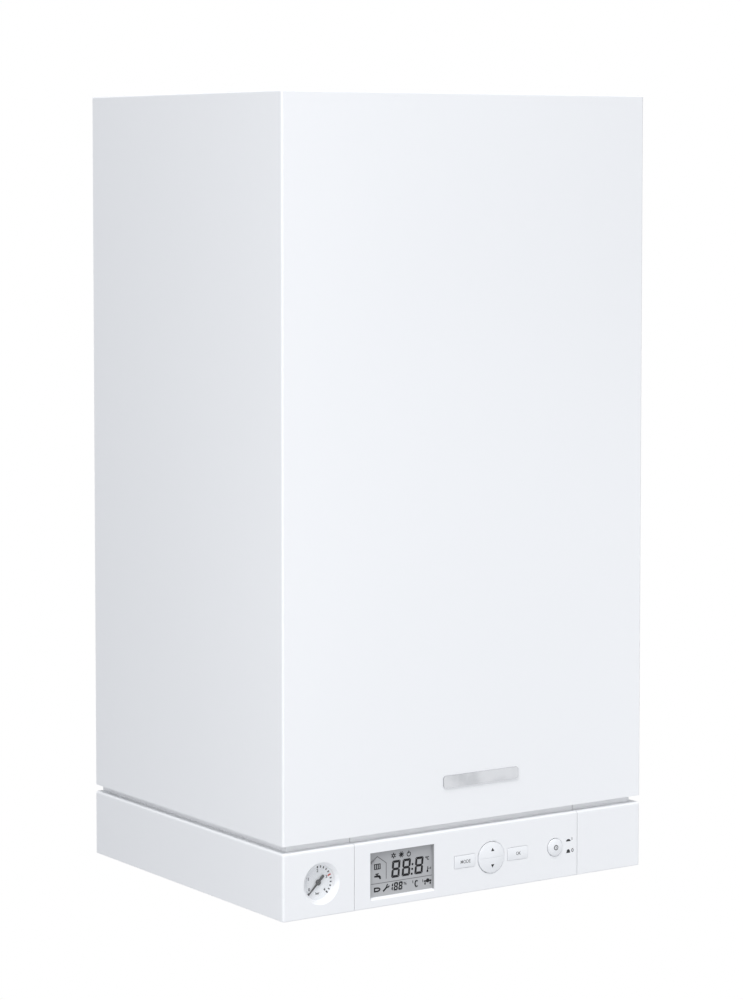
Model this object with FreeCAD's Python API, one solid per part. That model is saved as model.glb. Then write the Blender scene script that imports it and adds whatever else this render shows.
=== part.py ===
"""Wall-hung room-sealed combination gas boiler, as an assembly of separate pieces.

Millimetres. The origin is on the wall, midway between the two hanging bolts.
+Z is up, +X is to the right as seen from the front, and the front faces -Y.
"""

import FreeCAD
import Part
import math
import os

V = FreeCAD.Vector

# Casing envelope
WIDTH = 400.0
DEPTH = 340.0
HEIGHT = 725.0
HANG_DROP = 40.0
WALL_GAP = 7.0

# Clearances
RUNNING = 0.05
KEY_GAP = 0.2
ROCKER_GAP = 0.3
SWING_GAP = 2.0
SLIP = 0.1
BORE_SPARE = 1.0

# Working margins: a cutter runs past its face, and an edge this near a face is on it
PAST = 1.0
NEAR = 1.0

# Front cover
COVER_SHEET = 1.0
COVER_BEND = 2.0
COVER_TOP_BEND = 1.5
COVER_LIP = 28.0
COVER_HEM = 4.0
LIP_GAP = 0.5
BADGE_LENGTH = 84.0
BADGE_HEIGHT = 11.0
BADGE_THICKNESS = 1.2
BADGE_X = 13.5
BADGE_LEVEL = 104.8

# Lower fascia
FASCIA_HEIGHT = 60.5
FASCIA_WALL = 2.5
FASCIA_BEND = 2.5
FASCIA_TOP_EDGE = 2.4
FASCIA_FOOT_EDGE = 1.0
GROOVE_HEIGHT = 6.2
GROOVE_DEPTH = 7.5
NECK_WALL = 2.0
NECK_RISE = 1.5
PANEL_WIDTH = 250.0
SEAM = 0.7
BOSS_RADIUS = 4.5
BOSS_LEVEL = 24.0
BOSS_INSET = 62.0

# Controls on the centre panel
CONTROL_LEVEL = 29.4
LCD_X = -73.1
LCD_WIDTH = 69.8
LCD_HEIGHT = 40.8
LCD_SILL = 2.2
LCD_SILL_DEPTH = 2.0
LCD_LINER = 0.6
LCD_LINER_SETBACK = 0.3
LCD_DEPTH = 6.5
LCD_FRAME = 4.0
ROCKER_X = 25.6
ROCKER_RADIUS = 14.2
ROCKER_RIM = 0.5
ROCKER_CROWN = 2.0
ROCKER_CREASE = 0.4
ROCKER_CREASE_DEPTH = 0.25
ROCKER_CREASE_MARGIN = 1.2
ROCKER_PIN = 1.0
ROCKER_PIN_DEPTH = 4.5
EAR_THICKNESS = 2.0
EAR_HALF = 3.0
KEY_PITCH = 30.0
KEY_WIDTH = 22.6
KEY_HEIGHT = 11.4
KEY_CORNER = 0.6
KEY_PROUD = 0.7
KEY_CROWN = 0.5
KEY_EDGE = 0.2
KEY_FLANGE = 1.2
KEY_STEM = 4.3
POWER_X = 98.9
POWER_RADIUS = 7.9
POWER_RIM = 0.8
POWER_CROWN = 2.0
POWER_STEM_RADIUS = 5.0
POWER_STEM = 7.0
POWER_TRAVEL = 3.5
HOLE_EASE = 1.0
KEY_HOLE_EASE = 0.4

# Control box behind the centre panel
BOX_DEPTH = 100.0
BOX_MARGIN = 7.0
BOX_FLOOR = 4.0
BOX_HEIGHT = 51.0
BOX_WALL = 2.0
HINGE_INSET = 7.0
HINGE_RISE = 9.0
HINGE_PIN = 2.5
HINGE_HEAD = 4.0
BOARD = 1.6
BOARD_MARGIN = 4.0
STANDOFF_HEIGHT = 3.0
STANDOFF_RADIUS = 3.0
SWITCH_SIZE = 22.0
SWITCH_DEPTH = 18.0
TRANSFORMER_X = -80.0
TRANSFORMER_SIZE = 38.0
TRANSFORMER_HEIGHT = 30.0
RELAY_X = -20.0
RELAY_PITCH = 26.0
RELAY_COUNT = 2
RELAY_SIZE = 20.0
RELAY_HEIGHT = 16.0
CAPACITOR_X = 40.0
CAPACITOR_PITCH = 22.0
CAPACITOR_COUNT = 2
CAPACITOR_RADIUS = 7.0
CAPACITOR_HEIGHT = 24.0

# Pressure gauge in the left fascia
GAUGE_INSET = 40.3
GAUGE_BEVEL_RADIUS = 19.0
GAUGE_RADIUS = 16.9
GAUGE_BEVEL_DEPTH = 1.6
GAUGE_RING_SLOPE = 0.8
GAUGE_WALL = 1.0
GAUGE_SEAT = 6.0
GAUGE_FLANGE = 3.0
GAUGE_FLANGE_THICKNESS = 1.5
GAUGE_DEPTH = 26.4
GAUGE_NOSE = 5.0
GAUGE_NOSE_LENGTH = 7.0
DIAL_SPACE = 3.4
DIAL_THICKNESS = 1.0
LENS_THICKNESS = 1.0
NEEDLE_LENGTH = 14.9
NEEDLE_TAIL = 8.3
NEEDLE_HUB = 2.6
NEEDLE_TIP = 0.35
NEEDLE_ROOT = 1.3
NEEDLE_SHAFT = 0.8
NEEDLE_THICKNESS = 0.6
NEEDLE_LIFT = 1.2
NEEDLE_REST = 225.0

# Wall bracket and chassis
BRACKET_WIDTH = 300.0
BRACKET_SHEET = 2.5
BRACKET_FOOT = 20.0
BOLT_SPACING = 200.0
BOLT_HOLE = 5.5
TOOL_HOLE = 13.0
HOOK_SPACING = 120.0
HOOK_WIDTH = 30.0
HOOK_SEAT = 24.0
HOOK_RISE = 10.0
HOOK_SLACK = 1.0
SPACER_RADIUS = 12.0
SPACER_SPREAD = 280.0
SPACER_LEVEL = 110.0
CHASSIS_SHEET = 1.2
CHASSIS_MARGIN = 2.5
CHASSIS_FLANGE = 20.0
CHASSIS_FOOT = 10.0
TAIL_MARGIN = 1.5
TAIL_RISE = 12.0
FRAME_SHEET = 1.5
RAIL_LEVEL = 8.0
RAIL_HEIGHT = 32.0
RAIL_STOP = 45.0
LUG_RISE = 13.0
LUG_NOSE = 6.0

# Screws
SCREW_SHANK = 1.9
SCREW_HEAD = 3.6
SCREW_HEAD_HEIGHT = 2.2
SCREW_GRIP = 6.5

# Pipe connections
CONNECTION_EDGE = 70.0
CONNECTION_REACH = 60.0
THREE_QUARTER = 13.22
HALF_INCH = 10.48
FITTING_WALL = 5.8
FITTING_LEVEL = 4.0
FITTING_THREAD = 18.0
FITTING_COLLAR = 4.0
FITTING_NECK = 16.5
FITTING_FLATS = 6.0
NUT_HEIGHT = 12.0
SHELF_SHEET = 1.5
SHELF_END_CLEAR = 9.5
SHELF_DEPTH = 72.0
SHELF_LEG = 34.0
GLAND_OFFSET = 34.0
GLAND_RADIUS = 7.5
GLAND_BORE = 4.5
GLAND_COLLAR = 10.5
GLAND_DROP = 14.0
GLAND_RISE = 12.0

# Sealed chamber
AIR_SIDE_CLEAR = 25.0
WORKS_HEIGHT = 265.5
AIR_SHEET = 1.0
AIR_FLANGE = 12.0
LID_SPACE = 24.0
SEAL_WIDTH = 10.0
SEAL_THICKNESS = 3.0
LID_SHEET = 1.2
LID_EMBOSS = 4.0
LID_BORDER = 36.0
AIR_INLET = 50.0
INLET_COLLAR = 6.0
FLANGE_PCD = 130.0
FLANGE_HOLE = 2.5
GASKET_RADIUS = 75.0
GASKET_HEIGHT = 1.5
PIPE_CLEAR = 1.5

# Combustion chamber and burner
CHAMBER_SIDE_CLEAR = 45.0
CHAMBER_CLEAR = 17.9
CHAMBER_SHEET = 1.0
CHAMBER_SKIRT = 80.0
INSULATION = 12.0
INSULATION_GAP = 6.0
BLADE_COUNT = 12
BLADE_SIDE_CLEAR = 20.0
BLADE_END_CLEAR = 15.0
BLADE_HEIGHT = 50.0
BLADE_WIDTH = 10.0
BLADE_WAIST = 6.0
BLADE_SLOT = 2.0
BLADE_RISE = 24.0
BURNER_RAIL = 6.0
BURNER_RAIL_INSET = 14.0
MANIFOLD = 16.0
MANIFOLD_END_CLEAR = 10.0
MANIFOLD_RISE = 26.0
MANIFOLD_FRONT = 4.0
NOZZLE_RADIUS = 3.0
NOZZLE_LENGTH = 7.0
ELECTRODE_RADIUS = 4.0
ELECTRODE_FLANGE = 6.5
ELECTRODE_FLANGE_THICKNESS = 2.0
ELECTRODE_TAIL = 8.0
ELECTRODE_WIRE = 1.2
ELECTRODE_REACH = 36.0
ELECTRODE_RISE = 88.0
ELECTRODE_PLACES = (-50.0, -36.0, 45.0)

# Primary heat exchanger
FIN_COUNT = 40
FIN_SIDE_CLEAR = 20.8
FIN_THICKNESS = 0.6
FIN_END_CLEAR = 6.0
FIN_HEIGHT = 56.0
TUBE_RADIUS = 9.0
TUBE_EDGE = 23.0
TUBE_PASSES = 5
TUBE_DROP = 32.0
TUBE_BEND_START = 4.0
TUBE_END = 7.0
PIPE_WALL = 1.0
PIPE_DROP_OFFSET = 20.0
PIPE_BEND = 18.0

# Fan and flue
HOOD_HEIGHT = 12.0
HOOD_SHEET = 1.0
RISER_DEPTH = 40.0
RISER_WIDTH = 90.0
EYE_RADIUS = 26.0
FAN_WALL = 1.2
FAN_DEPTH = 66.0
SCROLL_START = 40.0
SCROLL_STEP = 8.0
DUCT_RISE = 8.0
FLUE_RADIUS = 30.2
SPIGOT_LENGTH = 26.8
SPIGOT_DROP = 5.0
IMPELLER_RADIUS = 36.0
IMPELLER_GAP = 3.5
IMPELLER_PLATE = 2.0
IMPELLER_HUB = 10.0
IMPELLER_HUB_LENGTH = 13.0
IMPELLER_BLADES = 18
IMPELLER_BLADE = 1.2
IMPELLER_BLADE_DEPTH = 8.0
FAN_SHAFT = 3.0
FAN_SHAFT_LENGTH = 38.0
SHAFT_CLEAR = 5.0
FAN_MOTOR_RADIUS = 30.0
FAN_MOTOR_LENGTH = 48.0
FAN_MOTOR_PLATE = 38.0
FAN_MOTOR_PLATE_THICKNESS = 2.0
AIR_SWITCH_RADIUS = 27.0
AIR_SWITCH_DEPTH = 24.0
AIR_SWITCH_CAP = 17.0
AIR_SWITCH_CAP_DEPTH = 5.0
HOSE_RADIUS = 3.0

# Expansion vessel
VESSEL_SIDE_CLEAR = 15.0
VESSEL_HEIGHT = 355.0
VESSEL_DEPTH = 80.0
VESSEL_CORNER = 45.0
VESSEL_EDGE = 20.0
VESSEL_SEAM = 5.0
VESSEL_SEAM_THICKNESS = 3.0
VESSEL_WALL = 1.5
VESSEL_HEADROOM = 69.0
VESSEL_CLEAR = 5.0
VESSEL_PIPE = 5.0

# Hydraulic blocks and plate exchanger
BLOCK_WIDTH = 52.0
BLOCK_BACK = 24.0
BLOCK_FRONT = 48.0
BLOCK_EASE = 4.0
FLOW_BLOCK_HEIGHT = 74.0
RETURN_BLOCK_HEIGHT = 81.0
PORT_RADIUS = 11.0
PORT_LENGTH = 16.0
PORT_RISE = 61.0
PLATE_RISE = 51.0
PLATE_HEIGHT = 75.0
PLATE_OFFSET = 10.0
PLATE_COUNT = 13
PLATE_PITCH = 4.0
PLATE_SOLID = 2.6
PLATE_STEP = 1.5
PLATE_CORNER = 14.0
PLATE_PORT = 10.0
PLATE_PORT_LENGTH = 7.0
WATER_PIPE = 8.0

# Diverter valve
NECK_RADIUS = 13.0
NECK_HEIGHT = 12.0
SUPPLY_DX = -12.0
SUPPLY_DY = 6.0
DIVERTER_DX = 17.0
DIVERTER_DY = -20.0
DIVERTER_NECK = 8.0
YOKE_RADIUS = 12.0
YOKE_BORE = 8.0
YOKE_HEIGHT = 14.0
YOKE_WINDOW = 11.0
YOKE_LEDGE = 1.0
ACTUATOR_RADIUS = 18.0
ACTUATOR_HEIGHT = 50.0
ACTUATOR_CAP = 5.0
STEM_RADIUS = 3.0
STEM_DEPTH = 26.0
STEM_HEIGHT = 24.0
STEM_COLLAR = 6.0
STEM_COLLAR_HEIGHT = 3.0
STEM_COLLAR_RISE = 2.0
STEM_TRAVEL = 6.0

# Safety valve and filling tap
SAFETY_RISE = 34.0
SAFETY_PORT = 10.0
SAFETY_PORT_LENGTH = 6.0
SAFETY_RADIUS = 12.0
SAFETY_LENGTH = 22.0
SAFETY_OUTLET = 8.0
SAFETY_OUTLET_DROP = 44.0
SAFETY_BONNET = 9.0
SAFETY_BONNET_LENGTH = 6.0
SAFETY_SPINDLE = 12.0
SPINDLE_RADIUS = 3.0
KNOB_GAP = 0.5
SAFETY_KNOB_RADIUS = 14.0
SAFETY_KNOB_LENGTH = 18.0
FILLING_DX = -12.0
FILLING_DY = -36.0
FILLING_BODY = 9.0
FILLING_BODY_LENGTH = 10.0
FILLING_KNOB_RADIUS = 13.0
FILLING_KNOB_LENGTH = 20.0
FILLING_SPINDLE = 8.0
KNOB_FLUTES = 12
FLUTE_RADIUS = 1.6

# Pump
PUMP_DX = -5.0
PUMP_RISE = 78.0
VOLUTE_RADIUS = 45.0
VOLUTE_BACK = 4.0
VOLUTE_DEPTH = 42.0
ROTOR_CAVITY = 34.0
ROTOR_CAVITY_DEPTH = 26.0
PUMP_OUTLET_DX = 25.0
PUMP_OUTLET_RADIUS = 13.0
PUMP_OUTLET_TOP = 60.0
PUMP_MOTOR_RADIUS = 42.0
PUMP_MOTOR_LENGTH = 82.0
PUMP_FLANGE = 6.0
PUMP_SCREW_CAP = 14.0
PUMP_SCREW_CAP_DEPTH = 3.0
TERMINAL_WIDTH = 50.0
TERMINAL_LENGTH = 50.0
TERMINAL_RISE = 64.0
TERMINAL_INSET = 14.0
PUMP_SHAFT = 4.0
PUMP_SHAFT_LENGTH = 70.0
PUMP_IMPELLER = 30.0
PUMP_IMPELLER_PLATE = 3.0
PUMP_VANE_HEIGHT = 9.0
PUMP_VANES = 6
PUMP_IMPELLER_GAP = 6.0
VENT_DX = 8.0
VENT_DY = 0.0
VENT_RADIUS = 13.0
VENT_HEIGHT = 43.0
VENT_CAP = 7.0
VENT_CAP_HEIGHT = 9.0
VESSEL_PIPE_DX = -18.0
VESSEL_PIPE_DY = 10.0

# Gas valve and gas pipes
GAS_SET_FORWARD = 57.0
GAS_RISE = 51.0
GAS_WIDTH = 74.0
GAS_DEPTH = 70.0
GAS_HEIGHT = 83.0
GAS_OFFSET = 5.0
GAS_FLANGE = 40.0
GAS_FLANGE_HEIGHT = 6.0
GAS_OUTLET_DX = 20.0
GAS_REGULATOR = 12.0
GAS_REGULATOR_LENGTH = 9.0
COIL_RADIUS = 16.0
COIL_LENGTH = 34.0
COIL_SPACING = 38.0
GAS_PIPE = 8.0
GAS_RUN_RISE = 22.0
GAS_UPPER_RUN = 33.0

# Long copper pipes
SUPPLY_RUN_DROP = 76.0
RETURN_RUN_DROP = 43.0
CAPILLARY_RADIUS = 1.5
CAPILLARY_BEND = 12.0
CAPILLARY_LEVEL = 62.0
CAPILLARY_DX = -18.0
CAPILLARY_RUN = 43.0

# Places worked out from the values above
TOP = HANG_DROP
BOTTOM = TOP - HEIGHT
SIDE = WIDTH / 2
FRONT = -DEPTH
BACK = -WALL_GAP
FASCIA_TOP = BOTTOM + FASCIA_HEIGHT
COVER_FOOT = FASCIA_TOP + GROOVE_HEIGHT
PANEL_INNER = FRONT + FASCIA_WALL
CONTROL_Z = BOTTOM + CONTROL_LEVEL
CHASSIS_FACE = BACK - CHASSIS_SHEET
TAIL_HALF = SIDE - GROOVE_DEPTH - NECK_WALL - TAIL_MARGIN

BOX_REAR = PANEL_INNER + BOX_DEPTH
BOX_HALF = PANEL_WIDTH / 2 - BOX_MARGIN
BOX_FOOT = BOTTOM + BOX_FLOOR
BOX_TOP = BOX_FOOT + BOX_HEIGHT
HINGE_Y = BOX_REAR - HINGE_INSET
HINGE_Z = BOX_FOOT + HINGE_RISE
CROSSBAR_FRONT = HINGE_Y + math.hypot(HINGE_INSET, HINGE_RISE) + SWING_GAP
RAIL_FOOT = BOTTOM + RAIL_LEVEL
LUG_INNER = BOX_HALF + SLIP
LUG_OUTER = LUG_INNER + FRAME_SHEET

AIR_TOP = TOP - COVER_SHEET - LIP_GAP
AIR_FLOOR = BOTTOM + WORKS_HEIGHT
AIR_HALF = SIDE - AIR_SIDE_CLEAR
AIR_FRONT = FRONT + COVER_SHEET + LID_SPACE
AIR_BACK = CHASSIS_FACE - VESSEL_DEPTH - VESSEL_CLEAR
LID_BACK = AIR_FRONT - SEAL_THICKNESS
LID_FRONT = LID_BACK - LID_SHEET

CHAMBER_HALF = AIR_HALF - CHAMBER_SIDE_CLEAR
CHAMBER_Y = (AIR_FRONT + AIR_BACK) / 2
CHAMBER_FRONT = AIR_FRONT + CHAMBER_CLEAR
CHAMBER_BACK = AIR_BACK - CHAMBER_CLEAR
CHAMBER_DEPTH = CHAMBER_BACK - CHAMBER_FRONT
CHAMBER_FOOT = AIR_FLOOR + AIR_SHEET
SPIGOT_TOP = AIR_TOP - SPIGOT_DROP
DUCT_TOP = SPIGOT_TOP - SPIGOT_LENGTH
FAN_Z = DUCT_TOP - DUCT_RISE - SCROLL_START
HOOD_TOP = FAN_Z - SCROLL_START - SCROLL_STEP - FAN_WALL
CHAMBER_TOP = HOOD_TOP - HOOD_HEIGHT
TUBE_Z = CHAMBER_TOP - TUBE_DROP
FIN_DEPTH = CHAMBER_DEPTH - 2 * FIN_END_CLEAR
TUBE_PITCH = (FIN_DEPTH - 2 * TUBE_EDGE) / (TUBE_PASSES - 1)
INSULATION_TOP = TUBE_Z - FIN_HEIGHT / 2 - INSULATION_GAP
BLADE_LENGTH = CHAMBER_DEPTH - 2 * BLADE_END_CLEAR
BLADE_PITCH = 2 * (CHAMBER_HALF - BLADE_SIDE_CLEAR) / (BLADE_COUNT - 1)
FIN_PITCH = 2 * (CHAMBER_HALF - FIN_SIDE_CLEAR) / (FIN_COUNT - 1)
PASS_Y = [CHAMBER_Y + TUBE_PITCH * (i - (TUBE_PASSES - 1) / 2) for i in range(TUBE_PASSES)]
TUBE_REACH = CHAMBER_HALF + TUBE_END
DROP_X = TUBE_REACH + PIPE_DROP_OFFSET
BLADE_FOOT = CHAMBER_FOOT + BLADE_RISE
MANIFOLD_Y = CHAMBER_FRONT - MANIFOLD_FRONT
MANIFOLD_FOOT = CHAMBER_FOOT + MANIFOLD_RISE

DUCT_WIDTH = SCROLL_START + 3 * SCROLL_STEP
FLUE_Y = CHAMBER_BACK - RISER_DEPTH - FAN_DEPTH / 2
FAN_X = DUCT_WIDTH / 2
FAN_FRONT = FLUE_Y - FAN_DEPTH / 2
FAN_BACK = FLUE_Y + FAN_DEPTH / 2

CONNECTION_Y = -CONNECTION_REACH
RETURN_X = SIDE - CONNECTION_EDGE
FLOW_X = -RETURN_X
CONNECTION_PITCH = RETURN_X / 2
SHELF_HALF = TAIL_HALF - FRAME_SHEET - SHELF_END_CLEAR
FITTING_FOOT = BOTTOM + FITTING_LEVEL
COLLAR_FOOT = FITTING_FOOT + FITTING_THREAD
SHELF_FOOT = COLLAR_FOOT + FITTING_COLLAR
SHELF_TOP = SHELF_FOOT + SHELF_SHEET
FITTING_TOP = SHELF_TOP + FITTING_NECK
BLOCK_REAR_Y = CONNECTION_Y + BLOCK_BACK
BLOCK_FRONT_Y = CONNECTION_Y - BLOCK_FRONT
FLOW_BLOCK_TOP = FITTING_TOP + FLOW_BLOCK_HEIGHT
RETURN_BLOCK_TOP = FITTING_TOP + RETURN_BLOCK_HEIGHT
PLATE_HALF = RETURN_X - BLOCK_WIDTH / 2 - PORT_LENGTH
PLATE_FOOT = FITTING_TOP + PLATE_RISE
PLATE_Y = CONNECTION_Y - PLATE_OFFSET
PUMP_X = RETURN_X + PUMP_DX
PUMP_Z = FITTING_TOP + PUMP_RISE
VOLUTE_REAR = BLOCK_FRONT_Y + VOLUTE_BACK
VOLUTE_FRONT = VOLUTE_REAR - VOLUTE_DEPTH
PUMP_OUTLET_X = PUMP_X + PUMP_OUTLET_DX
PUMP_OUTLET_Y = (VOLUTE_REAR + VOLUTE_FRONT) / 2
PUMP_OUTLET_Z = PUMP_Z + PUMP_OUTLET_TOP
DIVERTER_X = FLOW_X + DIVERTER_DX
DIVERTER_Y = CONNECTION_Y + DIVERTER_DY
DIVERTER_Z = FLOW_BLOCK_TOP + DIVERTER_NECK
ACTUATOR_FOOT = DIVERTER_Z + YOKE_HEIGHT
SUPPLY_X = FLOW_X + SUPPLY_DX
SUPPLY_Y = CONNECTION_Y + SUPPLY_DY
SAFETY_Z = FITTING_TOP + SAFETY_RISE
SAFETY_SEAT = BLOCK_FRONT_Y - SAFETY_PORT_LENGTH
SAFETY_NOSE = SAFETY_SEAT - SAFETY_LENGTH - SAFETY_BONNET_LENGTH
FILLING_X = RETURN_X + FILLING_DX
FILLING_Y = CONNECTION_Y + FILLING_DY
FILLING_FOOT = FITTING_TOP - FILLING_BODY_LENGTH
VESSEL_HALF = AIR_HALF - VESSEL_SIDE_CLEAR
VESSEL_TOP = AIR_TOP - VESSEL_HEADROOM
VESSEL_FOOT = VESSEL_TOP - VESSEL_HEIGHT
VESSEL_PIPE_X = RETURN_X + VESSEL_PIPE_DX
VESSEL_PIPE_Y = CONNECTION_Y + VESSEL_PIPE_DY
GAS_Y = BLOCK_FRONT_Y - GAS_SET_FORWARD
GAS_FOOT = FITTING_TOP + GAS_RISE
GAS_BODY_FOOT = GAS_FOOT + GAS_FLANGE_HEIGHT
GAS_BODY_TOP = GAS_BODY_FOOT + GAS_HEIGHT
GAS_TOP = GAS_BODY_TOP + GAS_FLANGE_HEIGHT
GAUGE_X = -SIDE + GAUGE_INSET
GAUGE_BACK = FRONT + GAUGE_SEAT
LENS_FRONT = FRONT + GAUGE_BEVEL_DEPTH + GAUGE_RING_SLOPE
DIAL_FACE = LENS_FRONT + LENS_THICKNESS + DIAL_SPACE
NEEDLE_Y = DIAL_FACE - NEEDLE_LIFT


def block(x, y, z):
    """Box spanning three (low, high) ranges."""
    return Part.makeBox(x[1] - x[0], y[1] - y[0], z[1] - z[0], V(x[0], y[0], z[0]))


def rod(radius, start, end):
    """Round bar between two points."""
    run = V(*end) - V(*start)
    return Part.makeCylinder(radius, run.Length, V(*start), run)


def upright(radius, x, y, start, end):
    """Round bar along Z."""
    return rod(radius, V(x, y, start), V(x, y, end))


def deep(radius, x, z, start, end):
    """Round bar along Y."""
    return rod(radius, V(x, start, z), V(x, end, z))


def across(radius, y, z, start, end):
    """Round bar along X."""
    return rod(radius, V(start, y, z), V(end, y, z))


def upright_tube(outer, inner, x, y, start, end):
    """Pipe along Z."""
    return upright(outer, x, y, start, end).cut(upright(inner, x, y, start, end))


def deep_tube(outer, inner, x, z, start, end):
    """Pipe along Y."""
    return deep(outer, x, z, start, end).cut(deep(inner, x, z, start, end))


def union(*shapes):
    """One solid from touching or overlapping shapes."""
    return shapes[0].fuse(list(shapes[1:])).removeSplitter()


def group(shapes):
    """Several separate solids in one node."""
    return Part.makeCompound(list(shapes))


def eased(shape, radius, axis):
    """Round the straight edges that run along one axis, 0 for X, 1 for Y and 2 for Z."""
    edges = []
    for edge in shape.Edges:
        run = edge.Vertexes[-1].Point - edge.Vertexes[0].Point
        if edge.Curve.TypeId == "Part::GeomLine" and abs(run[axis]) > 0.999 * run.Length:
            edges.append(edge)
    return shape.makeFillet(radius, edges)


def bars(x, y, z, radius):
    """Box whose upright edges are rounded."""
    return eased(block(x, y, z), radius, 2)


def hexagon(flats, x, y, low, high):
    """Hexagonal prism along Z, measured across its flats."""
    corner = flats / math.sqrt(3)
    turns = [math.radians(60 * i) for i in range(6)]
    points = [V(x + corner * math.cos(t), y + corner * math.sin(t), low) for t in turns]
    face = Part.Face(Part.makePolygon(points + points[:1]))
    return face.extrude(V(0, 0, high - low))


def route(points, bend):
    """Wire of straight runs joined by tangent arcs of one radius."""
    points = [V(*p) for p in points]
    edges = []
    start = points[0]
    for before, corner, after in zip(points, points[1:], points[2:]):
        back = (before - corner).normalize()
        ahead = (after - corner).normalize()
        half = back.getAngle(ahead) / 2
        enter = corner + back * (bend / math.tan(half))
        leave = corner + ahead * (bend / math.tan(half))
        middle = corner + (back + ahead).normalize() * (bend / math.sin(half) - bend)
        edges.append(Part.LineSegment(start, enter).toShape())
        edges.append(Part.Arc(enter, middle, leave).toShape())
        start = leave
    edges.append(Part.LineSegment(start, points[-1]).toShape())
    return Part.Wire(edges)


def bent_bar(points, radius, bend):
    """Round bar that follows a route."""
    path = route(points, bend)
    circle = Part.makeCircle(radius, V(*points[0]), V(*points[1]) - V(*points[0]))
    return path.makePipeShell([Part.Wire(circle)], True, False)


def bent_tube(points, radius, bend):
    """Pipe with an even wall that follows a route."""
    return bent_bar(points, radius, bend).cut(bent_bar(points, radius - PIPE_WALL, bend))


def mirrored(shape):
    """The shape and its mirror image about the middle of the boiler."""
    return [shape, shape.mirror(V(0, 0, 0), V(1, 0, 0))]


def screw(x, y, z, direction, grip=SCREW_GRIP):
    """Pan-head sheet screw whose head seats at a point, with its shank along a direction."""
    seat = V(x, y, z)
    way = V(*direction)
    head = Part.makeCylinder(SCREW_HEAD, SCREW_HEAD_HEIGHT, seat, way * -1)
    shank = Part.makeCylinder(SCREW_SHANK, grip, seat, way)
    return union(head, shank)


def screw_hole(x, y, z, direction, reach):
    """Clearance hole through both sides of a point."""
    way = V(*direction)
    return Part.makeCylinder(SCREW_SHANK + SLIP, 2 * reach, V(x, y, z) - way * reach, way)


def lid_screw_places():
    """The six screws of the chamber lid, as (x, z)."""
    x = AIR_HALF - AIR_FLANGE / 2
    low = AIR_FLOOR + AIR_FLANGE / 2
    high = AIR_TOP - AIR_SHEET - AIR_FLANGE / 2
    return [(s * x, z) for s in (-1, 1) for z in (low, (low + high) / 2, high)]


def wing_screw_places():
    """The screws that hold each fascia end to its rail, as (y, z)."""
    z = BOTTOM + BOSS_LEVEL
    return [(BACK - BOSS_INSET, z), (FRONT + BOSS_INSET, z)]


def shelf_screw_places():
    """The screws of the connection bracket, as (x, z)."""
    z = SHELF_TOP + SHELF_LEG / 2
    return [(x, z) for x in (-CONNECTION_PITCH / 2, CONNECTION_PITCH / 2)]


# Hanging and frame

def wall_bracket():
    """Steel strip bolted to the wall, with two upturned hooks."""
    strip = block((-BRACKET_WIDTH / 2, BRACKET_WIDTH / 2), (-BRACKET_SHEET, 0), (-BRACKET_FOOT, HOOK_SEAT))
    nose = CHASSIS_FACE - HOOK_SLACK - BRACKET_SHEET
    pieces = [strip]
    for side in (-1, 1):
        x = side * HOOK_SPACING / 2
        span = (x - HOOK_WIDTH / 2, x + HOOK_WIDTH / 2)
        pieces.append(block(span, (nose, 0), (HOOK_SEAT - BRACKET_SHEET, HOOK_SEAT)))
        lip_z = (HOOK_SEAT - BRACKET_SHEET, HOOK_SEAT + HOOK_RISE)
        pieces.append(block(span, (nose, nose + BRACKET_SHEET), lip_z))
    bracket = union(*pieces)
    for side in (-1, 1):
        x = side * BOLT_SPACING / 2
        bracket = bracket.cut(deep(BOLT_HOLE, x, 0, -BRACKET_SHEET, 0))
    return bracket


def wall_spacers():
    """Rubber buffers that keep the lower back parallel to the wall."""
    z = BOTTOM + SPACER_LEVEL
    pad = deep(SPACER_RADIUS, SPACER_SPREAD / 2, z, BACK, 0)
    return group(mirrored(pad))


def chassis_back():
    """Back plate with side flanges, hook slots, tool holes and a narrower tail behind the fascia."""
    half = SIDE - COVER_SHEET - CHASSIS_MARGIN
    shoulder = COVER_FOOT + TAIL_RISE
    sheet = (CHASSIS_FACE, BACK)
    plate = block((-half, half), sheet, (shoulder, AIR_TOP))
    tail = block((-TAIL_HALF, TAIL_HALF), sheet, (BOTTOM + CHASSIS_FOOT, shoulder))
    flange = block((half - CHASSIS_SHEET, half), (CHASSIS_FACE - CHASSIS_FLANGE, BACK), (shoulder, AIR_TOP))
    back = union(plate, tail, *mirrored(flange))
    slot_half = HOOK_WIDTH / 2 + HOOK_SLACK
    slot_foot = HOOK_SEAT - HOOK_RISE - 2 * BRACKET_SHEET - HOOK_SLACK
    for side in (-1, 1):
        hook = side * HOOK_SPACING / 2
        back = back.cut(block((hook - slot_half, hook + slot_half), sheet, (slot_foot, HOOK_SEAT)))
        bolt = side * BOLT_SPACING / 2
        back = back.cut(deep(TOOL_HOLE, bolt, 0, CHASSIS_FACE, BACK))
    for x, z in shelf_screw_places():
        back = back.cut(screw_hole(x, CHASSIS_FACE, z, (0, 1, 0), SCREW_GRIP))
    return back


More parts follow.
